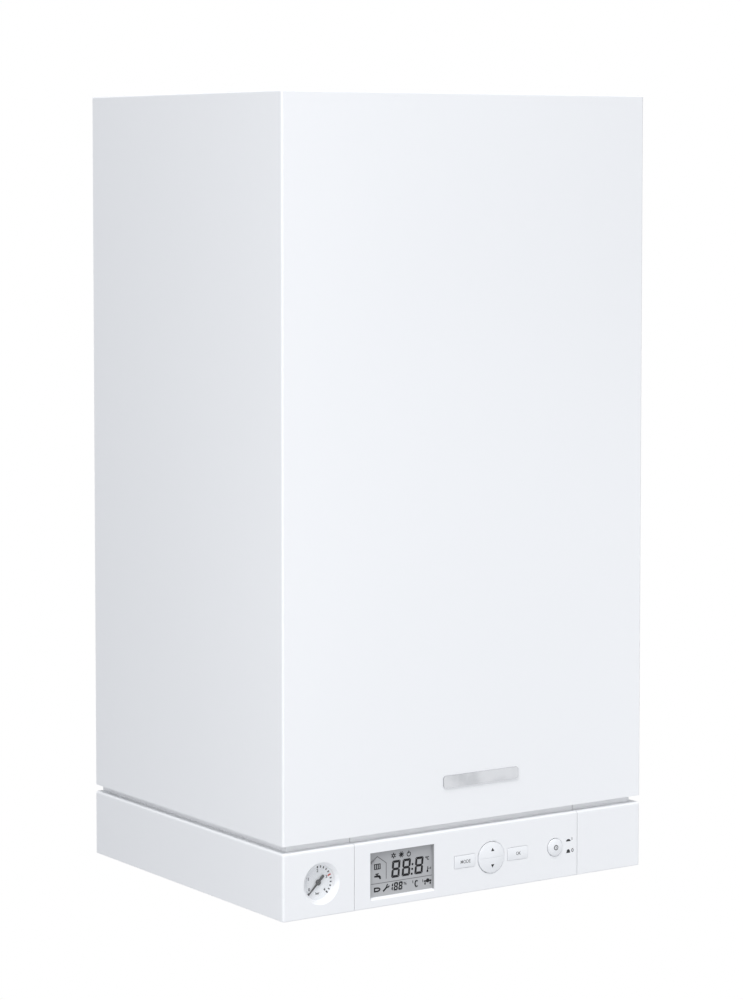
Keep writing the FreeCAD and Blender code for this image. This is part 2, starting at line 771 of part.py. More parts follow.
def lower_frame():
    """Two side rails, a cross bar and the hinge lugs of the control box."""
    z = (RAIL_FOOT, RAIL_FOOT + RAIL_HEIGHT)
    inner = TAIL_HALF - FRAME_SHEET
    rail = block((inner, TAIL_HALF), (FRONT + RAIL_STOP, CHASSIS_FACE), z)
    bar = block((-inner, inner), (CROSSBAR_FRONT, CROSSBAR_FRONT + FRAME_SHEET), z)
    lug_z = (RAIL_FOOT, RAIL_FOOT + LUG_RISE)
    lug = block((LUG_INNER, LUG_OUTER), (HINGE_Y - LUG_NOSE, CROSSBAR_FRONT), lug_z)
    lug = lug.cut(across(HINGE_PIN + RUNNING, HINGE_Y, HINGE_Z, LUG_INNER, LUG_OUTER))
    frame = union(bar, *mirrored(rail), *mirrored(lug))
    for y, z in wing_screw_places():
        for side in (-1, 1):
            frame = frame.cut(screw_hole(side * TAIL_HALF, y, z, (side, 0, 0), SCREW_GRIP))
    return frame


def sheet_screws():
    """Every sheet screw of the fixed frame."""
    screws = []
    for y, z in wing_screw_places():
        for side in (-1, 1):
            screws.append(screw(side * (TAIL_HALF - FRAME_SHEET), y, z, (side, 0, 0)))
    for x, z in lid_screw_places():
        screws.append(screw(x, LID_FRONT, z, (0, 1, 0)))
    for x, z in shelf_screw_places():
        screws.append(screw(x, CHASSIS_FACE - SHELF_SHEET, z, (0, 1, 0)))
    return group(screws)


# Casing

def front_corners(box):
    """The two upright edges at the front of a box."""
    return [e for e in box.Edges if e.BoundBox.YMax < FRONT + NEAR and e.BoundBox.ZLength > NEAR]


def front_cover():
    """White sheet shell: front, two sides, a lip round the top and a hem round the foot."""
    outer = block((-SIDE, SIDE), (FRONT, BACK), (COVER_FOOT, TOP))
    outer = outer.makeFillet(COVER_BEND, front_corners(outer))
    rim = [e for e in outer.Edges if e.BoundBox.ZMin > TOP - NEAR and e.BoundBox.YMin < BACK - NEAR]
    outer = outer.makeFillet(COVER_TOP_BEND, rim)
    side = SIDE - COVER_SHEET
    inner = block((-side, side), (FRONT + COVER_SHEET, 0), (COVER_FOOT + COVER_SHEET, TOP - COVER_SHEET))
    lip = SIDE - COVER_LIP
    mouth = block((-lip, lip), (FRONT + COVER_LIP, 0), (TOP - 2 * COVER_SHEET, TOP + 1))
    hem = side - COVER_HEM
    foot_y = (FRONT + COVER_SHEET + COVER_HEM, 0)
    foot = block((-hem, hem), foot_y, (COVER_FOOT - 1, COVER_FOOT + 2 * COVER_SHEET))
    return outer.cut([inner, mouth, foot])


def badge_plate():
    """Blank bright plate on the cover."""
    z = BOTTOM + BADGE_LEVEL
    x = (BADGE_X - BADGE_LENGTH / 2, BADGE_X + BADGE_LENGTH / 2)
    plate = block(x, (FRONT - BADGE_THICKNESS, FRONT), (z - BADGE_HEIGHT / 2, z + BADGE_HEIGHT / 2))
    return eased(plate, BADGE_HEIGHT / 4, 1)


def fascia_ring():
    """The whole lower fascia before it is parted: a channel that runs round three sides, with its neck."""
    outer = block((-SIDE, SIDE), (FRONT, BACK), (BOTTOM, FASCIA_TOP))
    outer = outer.makeFillet(FASCIA_BEND, front_corners(outer))
    rim = [e for e in outer.Edges if e.BoundBox.ZMin > FASCIA_TOP - NEAR and e.BoundBox.YMin < BACK - NEAR]
    outer = outer.makeFillet(FASCIA_TOP_EDGE, rim)
    foot = [e for e in outer.Edges if e.BoundBox.ZMax < BOTTOM + NEAR and e.BoundBox.YMin < BACK - NEAR]
    outer = outer.makeFillet(FASCIA_FOOT_EDGE, foot)
    neck = SIDE - GROOVE_DEPTH
    neck_top = COVER_FOOT + NECK_RISE
    collar = block((-neck, neck), (FRONT + GROOVE_DEPTH, BACK), (BOTTOM, neck_top))
    ring = outer.fuse(collar)
    wall = SIDE - FASCIA_WALL
    lining = block((-wall, wall), (PANEL_INNER, 0), (BOTTOM + FASCIA_WALL, FASCIA_TOP - FASCIA_WALL))
    bore = neck - NECK_WALL
    opening = block((-bore, bore), (FRONT + GROOVE_DEPTH + NECK_WALL, 0), (BOTTOM - PAST, neck_top + PAST))
    return ring.cut([lining, opening]).removeSplitter()


def fascia_end(ring, side):
    """One end of the fascia, outside the centre panel, with its screw bosses."""
    edge = PANEL_WIDTH / 2 + SEAM / 2
    x = (edge, SIDE + PAST) if side > 0 else (-SIDE - PAST, -edge)
    end = ring.common(block(x, (FRONT - PAST, PAST), (BOTTOM - PAST, TOP)))
    for y, z in wing_screw_places():
        boss = across(BOSS_RADIUS, y, z, side * TAIL_HALF, side * (SIDE - FASCIA_WALL))
        end = end.fuse(boss).cut(screw_hole(side * TAIL_HALF, y, z, (side, 0, 0), SCREW_GRIP))
    return end


def fascia_left(ring):
    """Left end of the fascia, with the bevelled seat of the gauge."""
    z = CONTROL_Z
    boss = deep(GAUGE_BEVEL_RADIUS + GAUGE_FLANGE, GAUGE_X, z, FRONT + FASCIA_WALL / 2, GAUGE_BACK)
    hole_radius = GAUGE_RADIUS + SLIP
    hole = deep(hole_radius, GAUGE_X, z, FRONT, GAUGE_BACK)
    mouth = V(GAUGE_X, FRONT, z)
    bevel = Part.makeCone(GAUGE_BEVEL_RADIUS, hole_radius, GAUGE_BEVEL_DEPTH, mouth, V(0, 1, 0))
    return fascia_end(ring, -1).fuse(boss).cut([hole, bevel]).removeSplitter()


def control_panel(ring):
    """Centre moulding of the fascia, with the openings for the display and the keys."""
    edge = PANEL_WIDTH / 2 - SEAM / 2
    panel = ring.common(block((-edge, edge), (FRONT - PAST, PAST), (BOTTOM - PAST, TOP)))
    ears = []
    for side in (-1, 1):
        inner = ROCKER_X + side * (ROCKER_RADIUS + ROCKER_GAP + SLIP)
        outer = inner + side * EAR_THICKNESS
        y = (PANEL_INNER, FRONT + ROCKER_PIN_DEPTH + 2 * ROCKER_PIN)
        ears.append(block(sorted((inner, outer)), y, (CONTROL_Z - EAR_HALF, CONTROL_Z + EAR_HALF)))
    panel = union(panel, *ears)
    return panel.cut([lcd_opening(), *key_openings()])


def lcd_opening():
    """Straight window for the display, with a sill that slopes out below it."""
    x = (LCD_X - LCD_WIDTH / 2, LCD_X + LCD_WIDTH / 2)
    foot = CONTROL_Z - LCD_HEIGHT / 2
    shaft = block(x, (FRONT, PANEL_INNER), (foot, CONTROL_Z + LCD_HEIGHT / 2))
    corners = [(FRONT, foot), (FRONT, foot - LCD_SILL), (FRONT + LCD_SILL_DEPTH, foot), (FRONT, foot)]
    wedge = Part.Face(Part.makePolygon([V(x[0], y, z) for y, z in corners]))
    return shaft.fuse(wedge.extrude(V(LCD_WIDTH, 0, 0)))


def key_blank(x, grow, y):
    """Rounded rectangular prism of one key, grown all round."""
    half = KEY_WIDTH / 2 + grow
    tall = KEY_HEIGHT / 2 + grow
    return eased(block((x - half, x + half), y, (CONTROL_Z - tall, CONTROL_Z + tall)), KEY_CORNER + grow, 1)


def key_mouth(x):
    """Eased edge of one key opening, wider at the front of the panel."""
    rear = FRONT + KEY_HOLE_EASE
    mouth = key_blank(x, KEY_GAP + KEY_HOLE_EASE, (FRONT - KEY_HOLE_EASE, rear))
    return mouth.makeChamfer(KEY_HOLE_EASE, [e for e in mouth.Edges if e.BoundBox.YMin > rear - SLIP])


def key_openings():
    """Holes for the two keys, the rocker and the power button, and the bearing of the rocker."""
    through = (FRONT - PAST, PANEL_INNER + PAST)
    cuts = []
    for side in (-1, 1):
        x = ROCKER_X + side * KEY_PITCH
        cuts += [key_blank(x, KEY_GAP, through), key_mouth(x)]
    for x, hole in ((ROCKER_X, ROCKER_RADIUS + ROCKER_GAP), (POWER_X, POWER_RADIUS + KEY_GAP)):
        cuts.append(deep(hole, x, CONTROL_Z, through[0], through[1]))
        cuts.append(Part.makeCone(hole + HOLE_EASE, hole, HOLE_EASE, V(x, FRONT, CONTROL_Z), V(0, 1, 0)))
    pin_half = ROCKER_RADIUS + ROCKER_GAP + SLIP + EAR_THICKNESS
    y = FRONT + ROCKER_PIN_DEPTH
    cuts.append(across(ROCKER_PIN + RUNNING, y, CONTROL_Z, ROCKER_X - pin_half, ROCKER_X + pin_half))
    return cuts


# Keys

def flat_key(x):
    """Rectangular key with an arched face, a retaining flange above and below and a stem behind."""
    half = KEY_WIDTH / 2
    arch = dome_radius(KEY_HEIGHT / 2, KEY_CROWN)
    cap = key_blank(x, 0, (FRONT - KEY_PROUD, PANEL_INNER + KEY_GAP))
    cap = cap.common(across(arch, FRONT - KEY_PROUD + arch, CONTROL_Z, x - half - PAST, x + half + PAST))
    face = [e for e in cap.Edges if e.BoundBox.YMax < FRONT - KEY_PROUD + KEY_CROWN + SLIP]
    cap = cap.makeFillet(KEY_EDGE, face)
    tall = KEY_HEIGHT / 2 + KEY_GAP + KEY_FLANGE
    flange_y = (PANEL_INNER + KEY_GAP, PANEL_INNER + KEY_GAP + KEY_FLANGE)
    flange = block((x - half, x + half), flange_y, (CONTROL_Z - tall, CONTROL_Z + tall))
    stem = deep(KEY_HEIGHT / 4, x, CONTROL_Z, flange_y[0], PANEL_INNER + KEY_STEM)
    return union(cap, flange, stem)


def dome_radius(radius, bulge):
    """Radius of the sphere that rises by a bulge over a disc."""
    return (radius ** 2 + bulge ** 2) / (2 * bulge)


def domed(x, radius, rim, crown, outline):
    """Button turned about its own axis: a bulging face, then steps behind it as (radius, y)."""
    sphere = dome_radius(radius, crown - rim)
    half_turn = math.asin(radius / sphere) / 2
    waypoint = (sphere * math.sin(half_turn), FRONT - crown + sphere * (1 - math.cos(half_turn)))
    steps = [(radius, FRONT - rim)] + outline + [(0, outline[-1][1]), (0, FRONT - crown)]
    points = [V(x + r, y, CONTROL_Z) for r, y in steps]
    face_line = Part.Arc(points[-1], V(x + waypoint[0], waypoint[1], CONTROL_Z), points[0]).toShape()
    sides = [Part.LineSegment(a, b).toShape() for a, b in zip(points, points[1:])]
    profile = Part.Face(Part.Wire([face_line] + sides))
    return profile.revolve(V(x, 0, CONTROL_Z), V(0, 1, 0), 360)


def rocker_button():
    """Round up and down key that tilts on its own pin, with a crease across its middle."""
    back = FRONT + ROCKER_PIN_DEPTH + ROCKER_PIN
    cap = domed(ROCKER_X, ROCKER_RADIUS, ROCKER_RIM, ROCKER_CROWN, [(ROCKER_RADIUS, back)])
    cap.rotate(V(ROCKER_X, 0, CONTROL_Z), V(0, 1, 0), 90)
    sphere = dome_radius(ROCKER_RADIUS, ROCKER_CROWN - ROCKER_RIM)
    reach = ROCKER_RADIUS - ROCKER_CREASE_MARGIN
    z = (CONTROL_Z - ROCKER_CREASE / 2, CONTROL_Z + ROCKER_CREASE / 2)
    crease = block((ROCKER_X - reach, ROCKER_X + reach), (FRONT - ROCKER_CROWN - PAST, FRONT), z)
    floor = upright(sphere - ROCKER_CREASE_DEPTH, ROCKER_X, FRONT - ROCKER_CROWN + sphere, z[0], z[1])
    half = ROCKER_RADIUS + ROCKER_GAP + SLIP + EAR_THICKNESS
    pin = across(ROCKER_PIN, FRONT + ROCKER_PIN_DEPTH, CONTROL_Z, ROCKER_X - half, ROCKER_X + half)
    return union(cap.cut(crease.cut(floor)), pin)


def power_button():
    """Round latching button with a flange behind the panel and a stem to its switch."""
    start = PANEL_INNER + KEY_GAP
    end = PANEL_INNER + POWER_STEM
    flange = POWER_RADIUS + KEY_GAP + KEY_FLANGE
    steps = [(POWER_RADIUS, start), (flange, start), (flange, start + KEY_FLANGE)]
    steps += [(POWER_STEM_RADIUS, start + KEY_FLANGE), (POWER_STEM_RADIUS, end)]
    return domed(POWER_X, POWER_RADIUS, POWER_RIM, POWER_CROWN, steps)


# Control box

def control_box():
    """Plastic tub behind the panel, open to the front, with stand-offs and the hinge holes."""
    outer = block((-BOX_HALF, BOX_HALF), (PANEL_INNER, BOX_REAR), (BOX_FOOT, BOX_TOP))
    inner_x = BOX_HALF - BOX_WALL
    inner_z = (BOX_FOOT + BOX_WALL, BOX_TOP - BOX_WALL)
    inner = block((-inner_x, inner_x), (PANEL_INNER, BOX_REAR - BOX_WALL), inner_z)
    tub = outer.cut(inner)
    floor = BOX_FOOT + BOX_WALL
    x, y = board_half(), board_span()
    for px in (-x + BOARD_MARGIN, x - BOARD_MARGIN):
        for py in (y[0] + BOARD_MARGIN, y[1] - BOARD_MARGIN):
            tub = tub.fuse(upright(STANDOFF_RADIUS, px, py, floor, floor + STANDOFF_HEIGHT))
    pins = across(HINGE_PIN + RUNNING, HINGE_Y, HINGE_Z, -BOX_HALF, BOX_HALF)
    return tub.cut(pins)


def hinge_pins():
    """Two headed pins that join the control box to the lugs of the frame."""
    wall = BOX_HALF - BOX_WALL
    shank = across(HINGE_PIN, HINGE_Y, HINGE_Z, wall, LUG_OUTER + HINGE_PIN / 2)
    head = across(HINGE_HEAD, HINGE_Y, HINGE_Z, wall - BOX_WALL, wall)
    return group(mirrored(union(shank, head)))


def board_half():
    """Half the length of both circuit boards."""
    return BOX_HALF - BOX_WALL - 2 * BOARD_MARGIN


def display_board_face():
    """Front face of the upright board, on which the display seats."""
    return PANEL_INNER + LCD_DEPTH


def board_span():
    """Depth range of the lying main board."""
    return (display_board_face() + SWITCH_DEPTH + 2 * BOARD_MARGIN, BOX_REAR - BOX_WALL - 2 * BOARD_MARGIN)


def lcd_module():
    """Display glass in its frame on the upright board, with a liner round three sides of the window."""
    half = LCD_WIDTH / 2 + LCD_FRAME
    tall = LCD_HEIGHT / 2 + LCD_FRAME / 2
    y = (PANEL_INNER, display_board_face())
    glass = block((LCD_X - half, LCD_X + half), y, (CONTROL_Z - tall, CONTROL_Z + tall))
    half = LCD_WIDTH / 2 - SLIP
    tall = LCD_HEIGHT / 2 - SLIP
    y = (FRONT + LCD_LINER_SETBACK, PANEL_INNER)
    liner = block((LCD_X - half, LCD_X + half), y, (CONTROL_Z - tall, CONTROL_Z + tall))
    half -= LCD_LINER
    clear = block((LCD_X - half, LCD_X + half), y, (CONTROL_Z - tall, CONTROL_Z + tall - LCD_LINER))
    return union(glass, liner.cut(clear))


def circuit_boards():
    """Upright display board and lying main board, with the larger components."""
    half = board_half()
    face = display_board_face()
    low = BOX_FOOT + BOX_WALL + STANDOFF_HEIGHT
    display = block((-half, half), (face, face + BOARD), (low, BOX_TOP - BOX_WALL - BOARD_MARGIN))
    hole = POWER_STEM_RADIUS + SWING_GAP
    display = display.cut(deep(hole, POWER_X, CONTROL_Z, face, face + BOARD))
    span = board_span()
    main = block((-half, half), span, (low, low + BOARD))
    seat = low + BOARD
    middle = (span[0] + span[1]) / 2
    pieces = [display, main]
    boxes = [(TRANSFORMER_X, TRANSFORMER_SIZE, TRANSFORMER_HEIGHT)]
    boxes += [(RELAY_X + RELAY_PITCH * i, RELAY_SIZE, RELAY_HEIGHT) for i in range(RELAY_COUNT)]
    for x, size, tall in boxes:
        r = size / 2
        pieces.append(block((x - r, x + r), (middle - r, middle + r), (seat, seat + tall)))
    for i in range(CAPACITOR_COUNT):
        x = CAPACITOR_X + CAPACITOR_PITCH * i
        pieces.append(upright(CAPACITOR_RADIUS, x, middle, seat, seat + CAPACITOR_HEIGHT))
    return group(pieces)


def power_switch():
    """Latching switch behind the power button, with a well for the stem."""
    front = display_board_face() + BOARD
    half = SWITCH_SIZE / 2
    body = block(
        (POWER_X - half, POWER_X + half), (front, front + SWITCH_DEPTH), (CONTROL_Z - half, CONTROL_Z + half)
    )
    well = deep(POWER_STEM_RADIUS + BORE_SPARE, POWER_X, CONTROL_Z, front, front + SWITCH_DEPTH / 2)
    return body.cut(well)


# Pressure gauge

def gauge_case():
    """Cup of the gauge with a sloping mouth, its seating flange and the nose of the capillary."""
    z = CONTROL_Z
    front = FRONT + GAUGE_BEVEL_DEPTH
    rear = front + GAUGE_DEPTH
    cup = deep(GAUGE_RADIUS, GAUGE_X, z, front, rear)
    flange_end = GAUGE_BACK + GAUGE_FLANGE_THICKNESS
    flange = deep(GAUGE_BEVEL_RADIUS + GAUGE_FLANGE, GAUGE_X, z, GAUGE_BACK, flange_end)
    nose = deep(GAUGE_NOSE, GAUGE_X, z, rear, rear + GAUGE_NOSE_LENGTH)
    bore = GAUGE_RADIUS - GAUGE_WALL
    hollow = deep(bore, GAUGE_X, z, front, DIAL_FACE + DIAL_THICKNESS)
    slope = Part.makeCone(GAUGE_RADIUS - SLIP, bore, GAUGE_RING_SLOPE, V(GAUGE_X, front, z), V(0, 1, 0))
    bearing = deep(NEEDLE_SHAFT + RUNNING, GAUGE_X, z, DIAL_FACE, DIAL_FACE + 2 * NEEDLE_TAIL)
    return union(cup, flange, nose).cut([hollow, slope, bearing])


def gauge_dial():
    """Printed dial plate."""
    z = CONTROL_Z
    rear = DIAL_FACE + DIAL_THICKNESS
    return deep_tube(GAUGE_RADIUS - GAUGE_WALL, NEEDLE_SHAFT + RUNNING, GAUGE_X, z, DIAL_FACE, rear)


def gauge_lens():
    """Clear disc in the mouth of the gauge."""
    radius = GAUGE_RADIUS - GAUGE_WALL
    return deep(radius, GAUGE_X, CONTROL_Z, LENS_FRONT, LENS_FRONT + LENS_THICKNESS)


def gauge_needle():
    """Tapered pointer with a rounded counterweight, a hub and its shaft."""
    z = CONTROL_Z
    front = NEEDLE_Y - NEEDLE_THICKNESS / 2
    back = NEEDLE_Y + NEEDLE_THICKNESS / 2
    tail = -NEEDLE_TAIL + NEEDLE_ROOT
    top = [V(tail, front, NEEDLE_ROOT), V(NEEDLE_LENGTH, front, NEEDLE_TIP)]
    low = [V(NEEDLE_LENGTH, front, -NEEDLE_TIP), V(tail, front, -NEEDLE_ROOT)]
    edges = [
        Part.LineSegment(top[0], top[1]).toShape(),
        Part.LineSegment(top[1], low[0]).toShape(),
        Part.LineSegment(low[0], low[1]).toShape(),
        Part.Arc(low[1], V(-NEEDLE_TAIL, front, 0), top[0]).toShape(),
    ]
    blade = Part.Face(Part.Wire(edges)).extrude(V(0, NEEDLE_THICKNESS, 0))
    blade.rotate(V(0, 0, 0), V(0, 1, 0), -NEEDLE_REST)
    blade.translate(V(GAUGE_X, 0, z))
    hub = deep(NEEDLE_HUB, GAUGE_X, z, front - NEEDLE_THICKNESS / 2, back)
    shaft = deep(NEEDLE_SHAFT, GAUGE_X, z, front, DIAL_FACE + NEEDLE_TAIL)
    return union(blade, hub, shaft)


# Pipe connections

def connections():
    """The five pipe stubs from left to right, as (x, thread radius)."""
    threads = (THREE_QUARTER, HALF_INCH, THREE_QUARTER, HALF_INCH, THREE_QUARTER)
    return [((i - len(threads) // 2) * CONNECTION_PITCH, r) for i, r in enumerate(threads)]


def connection_bracket():
    """Angle on the back plate whose shelf holds the five stubs and the cable gland."""
    half = SHELF_HALF
    shelf = block((-half, half), (CHASSIS_FACE - SHELF_DEPTH, CHASSIS_FACE), (SHELF_FOOT, SHELF_TOP))
    leg_z = (SHELF_FOOT, SHELF_TOP + SHELF_LEG)
    leg = block((-half, half), (CHASSIS_FACE - SHELF_SHEET, CHASSIS_FACE), leg_z)
    bracket = union(shelf, leg)
    holes = [(x, r) for x, r in connections()] + [(RETURN_X + GLAND_OFFSET, GLAND_RADIUS)]
    for x, radius in holes:
        bracket = bracket.cut(upright(radius + SLIP, x, CONNECTION_Y, SHELF_FOOT, SHELF_TOP))
    for x, z in shelf_screw_places():
        bracket = bracket.cut(screw_hole(x, CHASSIS_FACE, z, (0, 1, 0), SCREW_GRIP))
    return bracket


def pipe_fittings():
    """Brass stubs: thread below, hexagon under the shelf and a neck through it."""
    stubs = []
    for x, radius in connections():
        thread = upright(radius, x, CONNECTION_Y, FITTING_FOOT, FITTING_TOP)
        collar = hexagon(2 * radius + FITTING_FLATS, x, CONNECTION_Y, COLLAR_FOOT, SHELF_FOOT)
        bore = upright(radius - FITTING_WALL, x, CONNECTION_Y, FITTING_FOOT, FITTING_TOP)
        stubs.append(union(thread, collar).cut(bore))
    return group(stubs)


def union_nuts():
    """Hexagon nuts that clamp the stubs to the shelf."""
    nuts = []
    for x, radius in connections():
        nut = hexagon(2 * radius + FITTING_FLATS, x, CONNECTION_Y, SHELF_TOP, SHELF_TOP + NUT_HEIGHT)
        bore = upright(radius + SLIP, x, CONNECTION_Y, SHELF_TOP, SHELF_TOP + NUT_HEIGHT)
        nuts.append(nut.cut(bore))
    return group(nuts)


def cable_gland():
    """Gland for the mains lead, in the shelf beside the return stub."""
    x = RETURN_X + GLAND_OFFSET
    low = SHELF_FOOT - GLAND_DROP
    high = SHELF_TOP + GLAND_RISE
    body = upright(GLAND_RADIUS, x, CONNECTION_Y, low, high)
    collar = hexagon(2 * GLAND_COLLAR, x, CONNECTION_Y, SHELF_FOOT - FITTING_COLLAR, SHELF_FOOT)
    return union(body, collar).cut(upright(GLAND_BORE, x, CONNECTION_Y, low, high))


# Sealed chamber

def pipe_holes():
    """Round cuts in the floor of the sealed chamber where the pipes pass."""
    places = [(DROP_X, PASS_Y[0], TUBE_RADIUS), (-DROP_X, PASS_Y[-1], TUBE_RADIUS)]
    places.append((GAS_OUTLET_DX, MANIFOLD_Y, GAS_PIPE))
    low = AIR_FLOOR - PAST
    high = AIR_FLOOR + AIR_SHEET + PAST
    return [upright(r + PIPE_CLEAR, x, y, low, high) for x, y, r in places]


def air_box():
    """Sheet box of the sealed chamber: floor, back and sides that run on to the back plate, front flange."""
    x = (-AIR_HALF, AIR_HALF)
    top = AIR_TOP - AIR_SHEET
    side = block((AIR_HALF - AIR_SHEET, AIR_HALF), (AIR_FRONT, CHASSIS_FACE), (AIR_FLOOR, top))
    floor = block(x, (AIR_FRONT, AIR_BACK), (AIR_FLOOR, AIR_FLOOR + AIR_SHEET))
    back = block(x, (AIR_BACK - AIR_SHEET, AIR_BACK), (AIR_FLOOR, top))
    front = block(x, (AIR_FRONT, AIR_FRONT + AIR_SHEET), (AIR_FLOOR, top))
    mouth_half = AIR_HALF - AIR_FLANGE
    mouth_z = (AIR_FLOOR + AIR_FLANGE, top - AIR_FLANGE)
    mouth = block((-mouth_half, mouth_half), (AIR_FRONT, AIR_FRONT + AIR_SHEET), mouth_z)
    box = union(*mirrored(side), floor, back, front.cut(mouth)).cut(pipe_holes())
    for px, pz in lid_screw_places():
        box = box.cut(screw_hole(px, AIR_FRONT, pz, (0, 1, 0), SCREW_GRIP))
    return box


def flange_holes(low, high):
    """Four screw holes round the flue opening."""
    cuts = []
    for i in range(4):
        turn = math.radians(45 + 90 * i)
        x = FLANGE_PCD / 2 * math.cos(turn)
        y = FLUE_Y + FLANGE_PCD / 2 * math.sin(turn)
        cuts.append(upright(FLANGE_HOLE, x, y, low, high))
    return cuts


def air_box_top():
    """Top plate with the air inlet round the flue, its collar and the flange holes."""
    plate = block((-AIR_HALF, AIR_HALF), (AIR_FRONT, CHASSIS_FACE), (AIR_TOP - AIR_SHEET, AIR_TOP))
    collar = upright_tube(AIR_INLET + AIR_SHEET, AIR_INLET, 0, FLUE_Y, AIR_TOP - INLET_COLLAR, AIR_TOP)
    hole = upright(AIR_INLET, 0, FLUE_Y, AIR_TOP - AIR_SHEET, AIR_TOP)
    return union(plate.cut(hole), collar).cut(flange_holes(AIR_TOP - AIR_SHEET, AIR_TOP))


def flue_gasket():
    """Flat seal on which the flue flange is screwed down."""
    ring = upright_tube(GASKET_RADIUS, AIR_INLET, 0, FLUE_Y, AIR_TOP, AIR_TOP + GASKET_HEIGHT)
    return ring.cut(flange_holes(AIR_TOP, AIR_TOP + GASKET_HEIGHT))


def chamber_seal():
    """Sponge seal between the chamber flange and its lid."""
    top = AIR_TOP - AIR_SHEET
    y = (LID_BACK, AIR_FRONT)
    outer = block((-AIR_HALF, AIR_HALF), y, (AIR_FLOOR, top))
    inner_half = AIR_HALF - SEAL_WIDTH
    inner = block((-inner_half, inner_half), y, (AIR_FLOOR + SEAL_WIDTH, top - SEAL_WIDTH))
    seal = outer.cut(inner)
    for x, z in lid_screw_places():
        seal = seal.cut(screw_hole(x, AIR_FRONT, z, (0, 1, 0), SCREW_GRIP))
    return seal


def chamber_lid():
    """Lid of the sealed chamber, with one wide pressed field."""
    top = AIR_TOP - AIR_SHEET
    plate = block((-AIR_HALF, AIR_HALF), (LID_FRONT, LID_BACK), (AIR_FLOOR, top))
    half = AIR_HALF - LID_BORDER
    low = AIR_FLOOR + LID_BORDER
    high = top - LID_BORDER
    field = eased(block((-half, half), (LID_FRONT - LID_EMBOSS, LID_BACK), (low, high)), LID_BORDER / 2, 1)
    inner = half - LID_SHEET
    hollow_y = (LID_FRONT - LID_EMBOSS + LID_SHEET, LID_BACK)
    hollow = block((-inner, inner), hollow_y, (low + LID_SHEET, high - LID_SHEET))
    lid = union(plate, field).cut(eased(hollow, LID_BORDER / 2 - LID_SHEET, 1))
    for x, z in lid_screw_places():
        lid = lid.cut(screw_hole(x, LID_FRONT, z, (0, 1, 0), SCREW_GRIP))
    return lid


# Combustion chamber and burner

def electrode_holes(radius):
    """Cuts through the chamber's front for the electrodes."""
    z = CHAMBER_FOOT + ELECTRODE_RISE
    rear = CHAMBER_FRONT + CHAMBER_SHEET + INSULATION
    return [deep(radius, x, z, CHAMBER_FRONT, rear) for x in ELECTRODE_PLACES]


def combustion_chamber():
    """Sheet shaft on two legs, with holes for the exchanger tubes and the electrodes."""
    skirt = CHAMBER_FOOT + CHAMBER_SKIRT
    shaft = block((-CHAMBER_HALF, CHAMBER_HALF), (CHAMBER_FRONT, CHAMBER_BACK), (skirt, CHAMBER_TOP))
    inner = CHAMBER_HALF - CHAMBER_SHEET
    y = (CHAMBER_FRONT + CHAMBER_SHEET, CHAMBER_BACK - CHAMBER_SHEET)
    shaft = shaft.cut(block((-inner, inner), y, (skirt, CHAMBER_TOP)))
    leg = block((inner, CHAMBER_HALF), (CHAMBER_FRONT, CHAMBER_BACK), (CHAMBER_FOOT, skirt))
    chamber = union(shaft, *mirrored(leg))
    holes = [across(TUBE_RADIUS + SLIP, y, TUBE_Z, -CHAMBER_HALF, CHAMBER_HALF) for y in PASS_Y]
    return chamber.cut(holes + electrode_holes(ELECTRODE_RADIUS + SLIP))


def chamber_insulation():
    """Four ceramic-fibre boards that line the combustion chamber."""
    inner = CHAMBER_HALF - CHAMBER_SHEET
    front = CHAMBER_FRONT + CHAMBER_SHEET
    back = CHAMBER_BACK - CHAMBER_SHEET
    low = CHAMBER_FOOT + CHAMBER_SKIRT
    z = (low, INSULATION_TOP)
    front_board = block((-inner, inner), (front, front + INSULATION), z)
    boards = [front_board.cut(electrode_holes(ELECTRODE_RADIUS + SLIP))]
    boards.append(block((-inner, inner), (back - INSULATION, back), z))
    boards += mirrored(block((inner - INSULATION, inner), (front + INSULATION, back - INSULATION), z))
    return group(boards)


def burner_rack():
    """Slotted burner blades standing on two cross rails."""
    top = BLADE_FOOT + BLADE_HEIGHT
    wide = BLADE_WIDTH / 2
    waist = BLADE_WAIST / 2
    slot = BLADE_SLOT / 2
    half = [(waist, BLADE_FOOT), (waist, top - 2.2 * BLADE_WIDTH), (wide, top - 1.6 * BLADE_WIDTH)]
    half += [(wide, top), (slot, top), (slot, top - BLADE_WIDTH)]
    outline = half + [(-x, z) for x, z in reversed(half)]
    start = CHAMBER_Y - BLADE_LENGTH / 2
    pieces = []
    for i in range(BLADE_COUNT):
        x = (i - (BLADE_COUNT - 1) / 2) * BLADE_PITCH
        points = [V(x + px, start, pz) for px, pz in outline]
        pieces.append(Part.Face(Part.makePolygon(points + points[:1])).extrude(V(0, BLADE_LENGTH, 0)))
    inner = CHAMBER_HALF - CHAMBER_SHEET
    for side in (-1, 1):
        y = CHAMBER_Y + side * (BLADE_LENGTH / 2 - BURNER_RAIL_INSET)
        z = (BLADE_FOOT - BURNER_RAIL, BLADE_FOOT)
        pieces.append(block((-inner, inner), (y - BURNER_RAIL / 2, y + BURNER_RAIL / 2), z))
    return group(pieces)


def gas_manifold():
    """Square tube in front of the burner with one nozzle for each blade."""
    half = MANIFOLD / 2
    span = CHAMBER_HALF - MANIFOLD_END_CLEAR
    z = MANIFOLD_FOOT + half
    bar_y = (MANIFOLD_Y - half, MANIFOLD_Y + half)
    shape = block((-span, span), bar_y, (MANIFOLD_FOOT, MANIFOLD_FOOT + MANIFOLD))
    nozzles = []
    for i in range(BLADE_COUNT):
        x = (i - (BLADE_COUNT - 1) / 2) * BLADE_PITCH
        nozzles.append(deep(NOZZLE_RADIUS, x, z, MANIFOLD_Y, MANIFOLD_Y + half + NOZZLE_LENGTH))
    return union(shape, *nozzles)


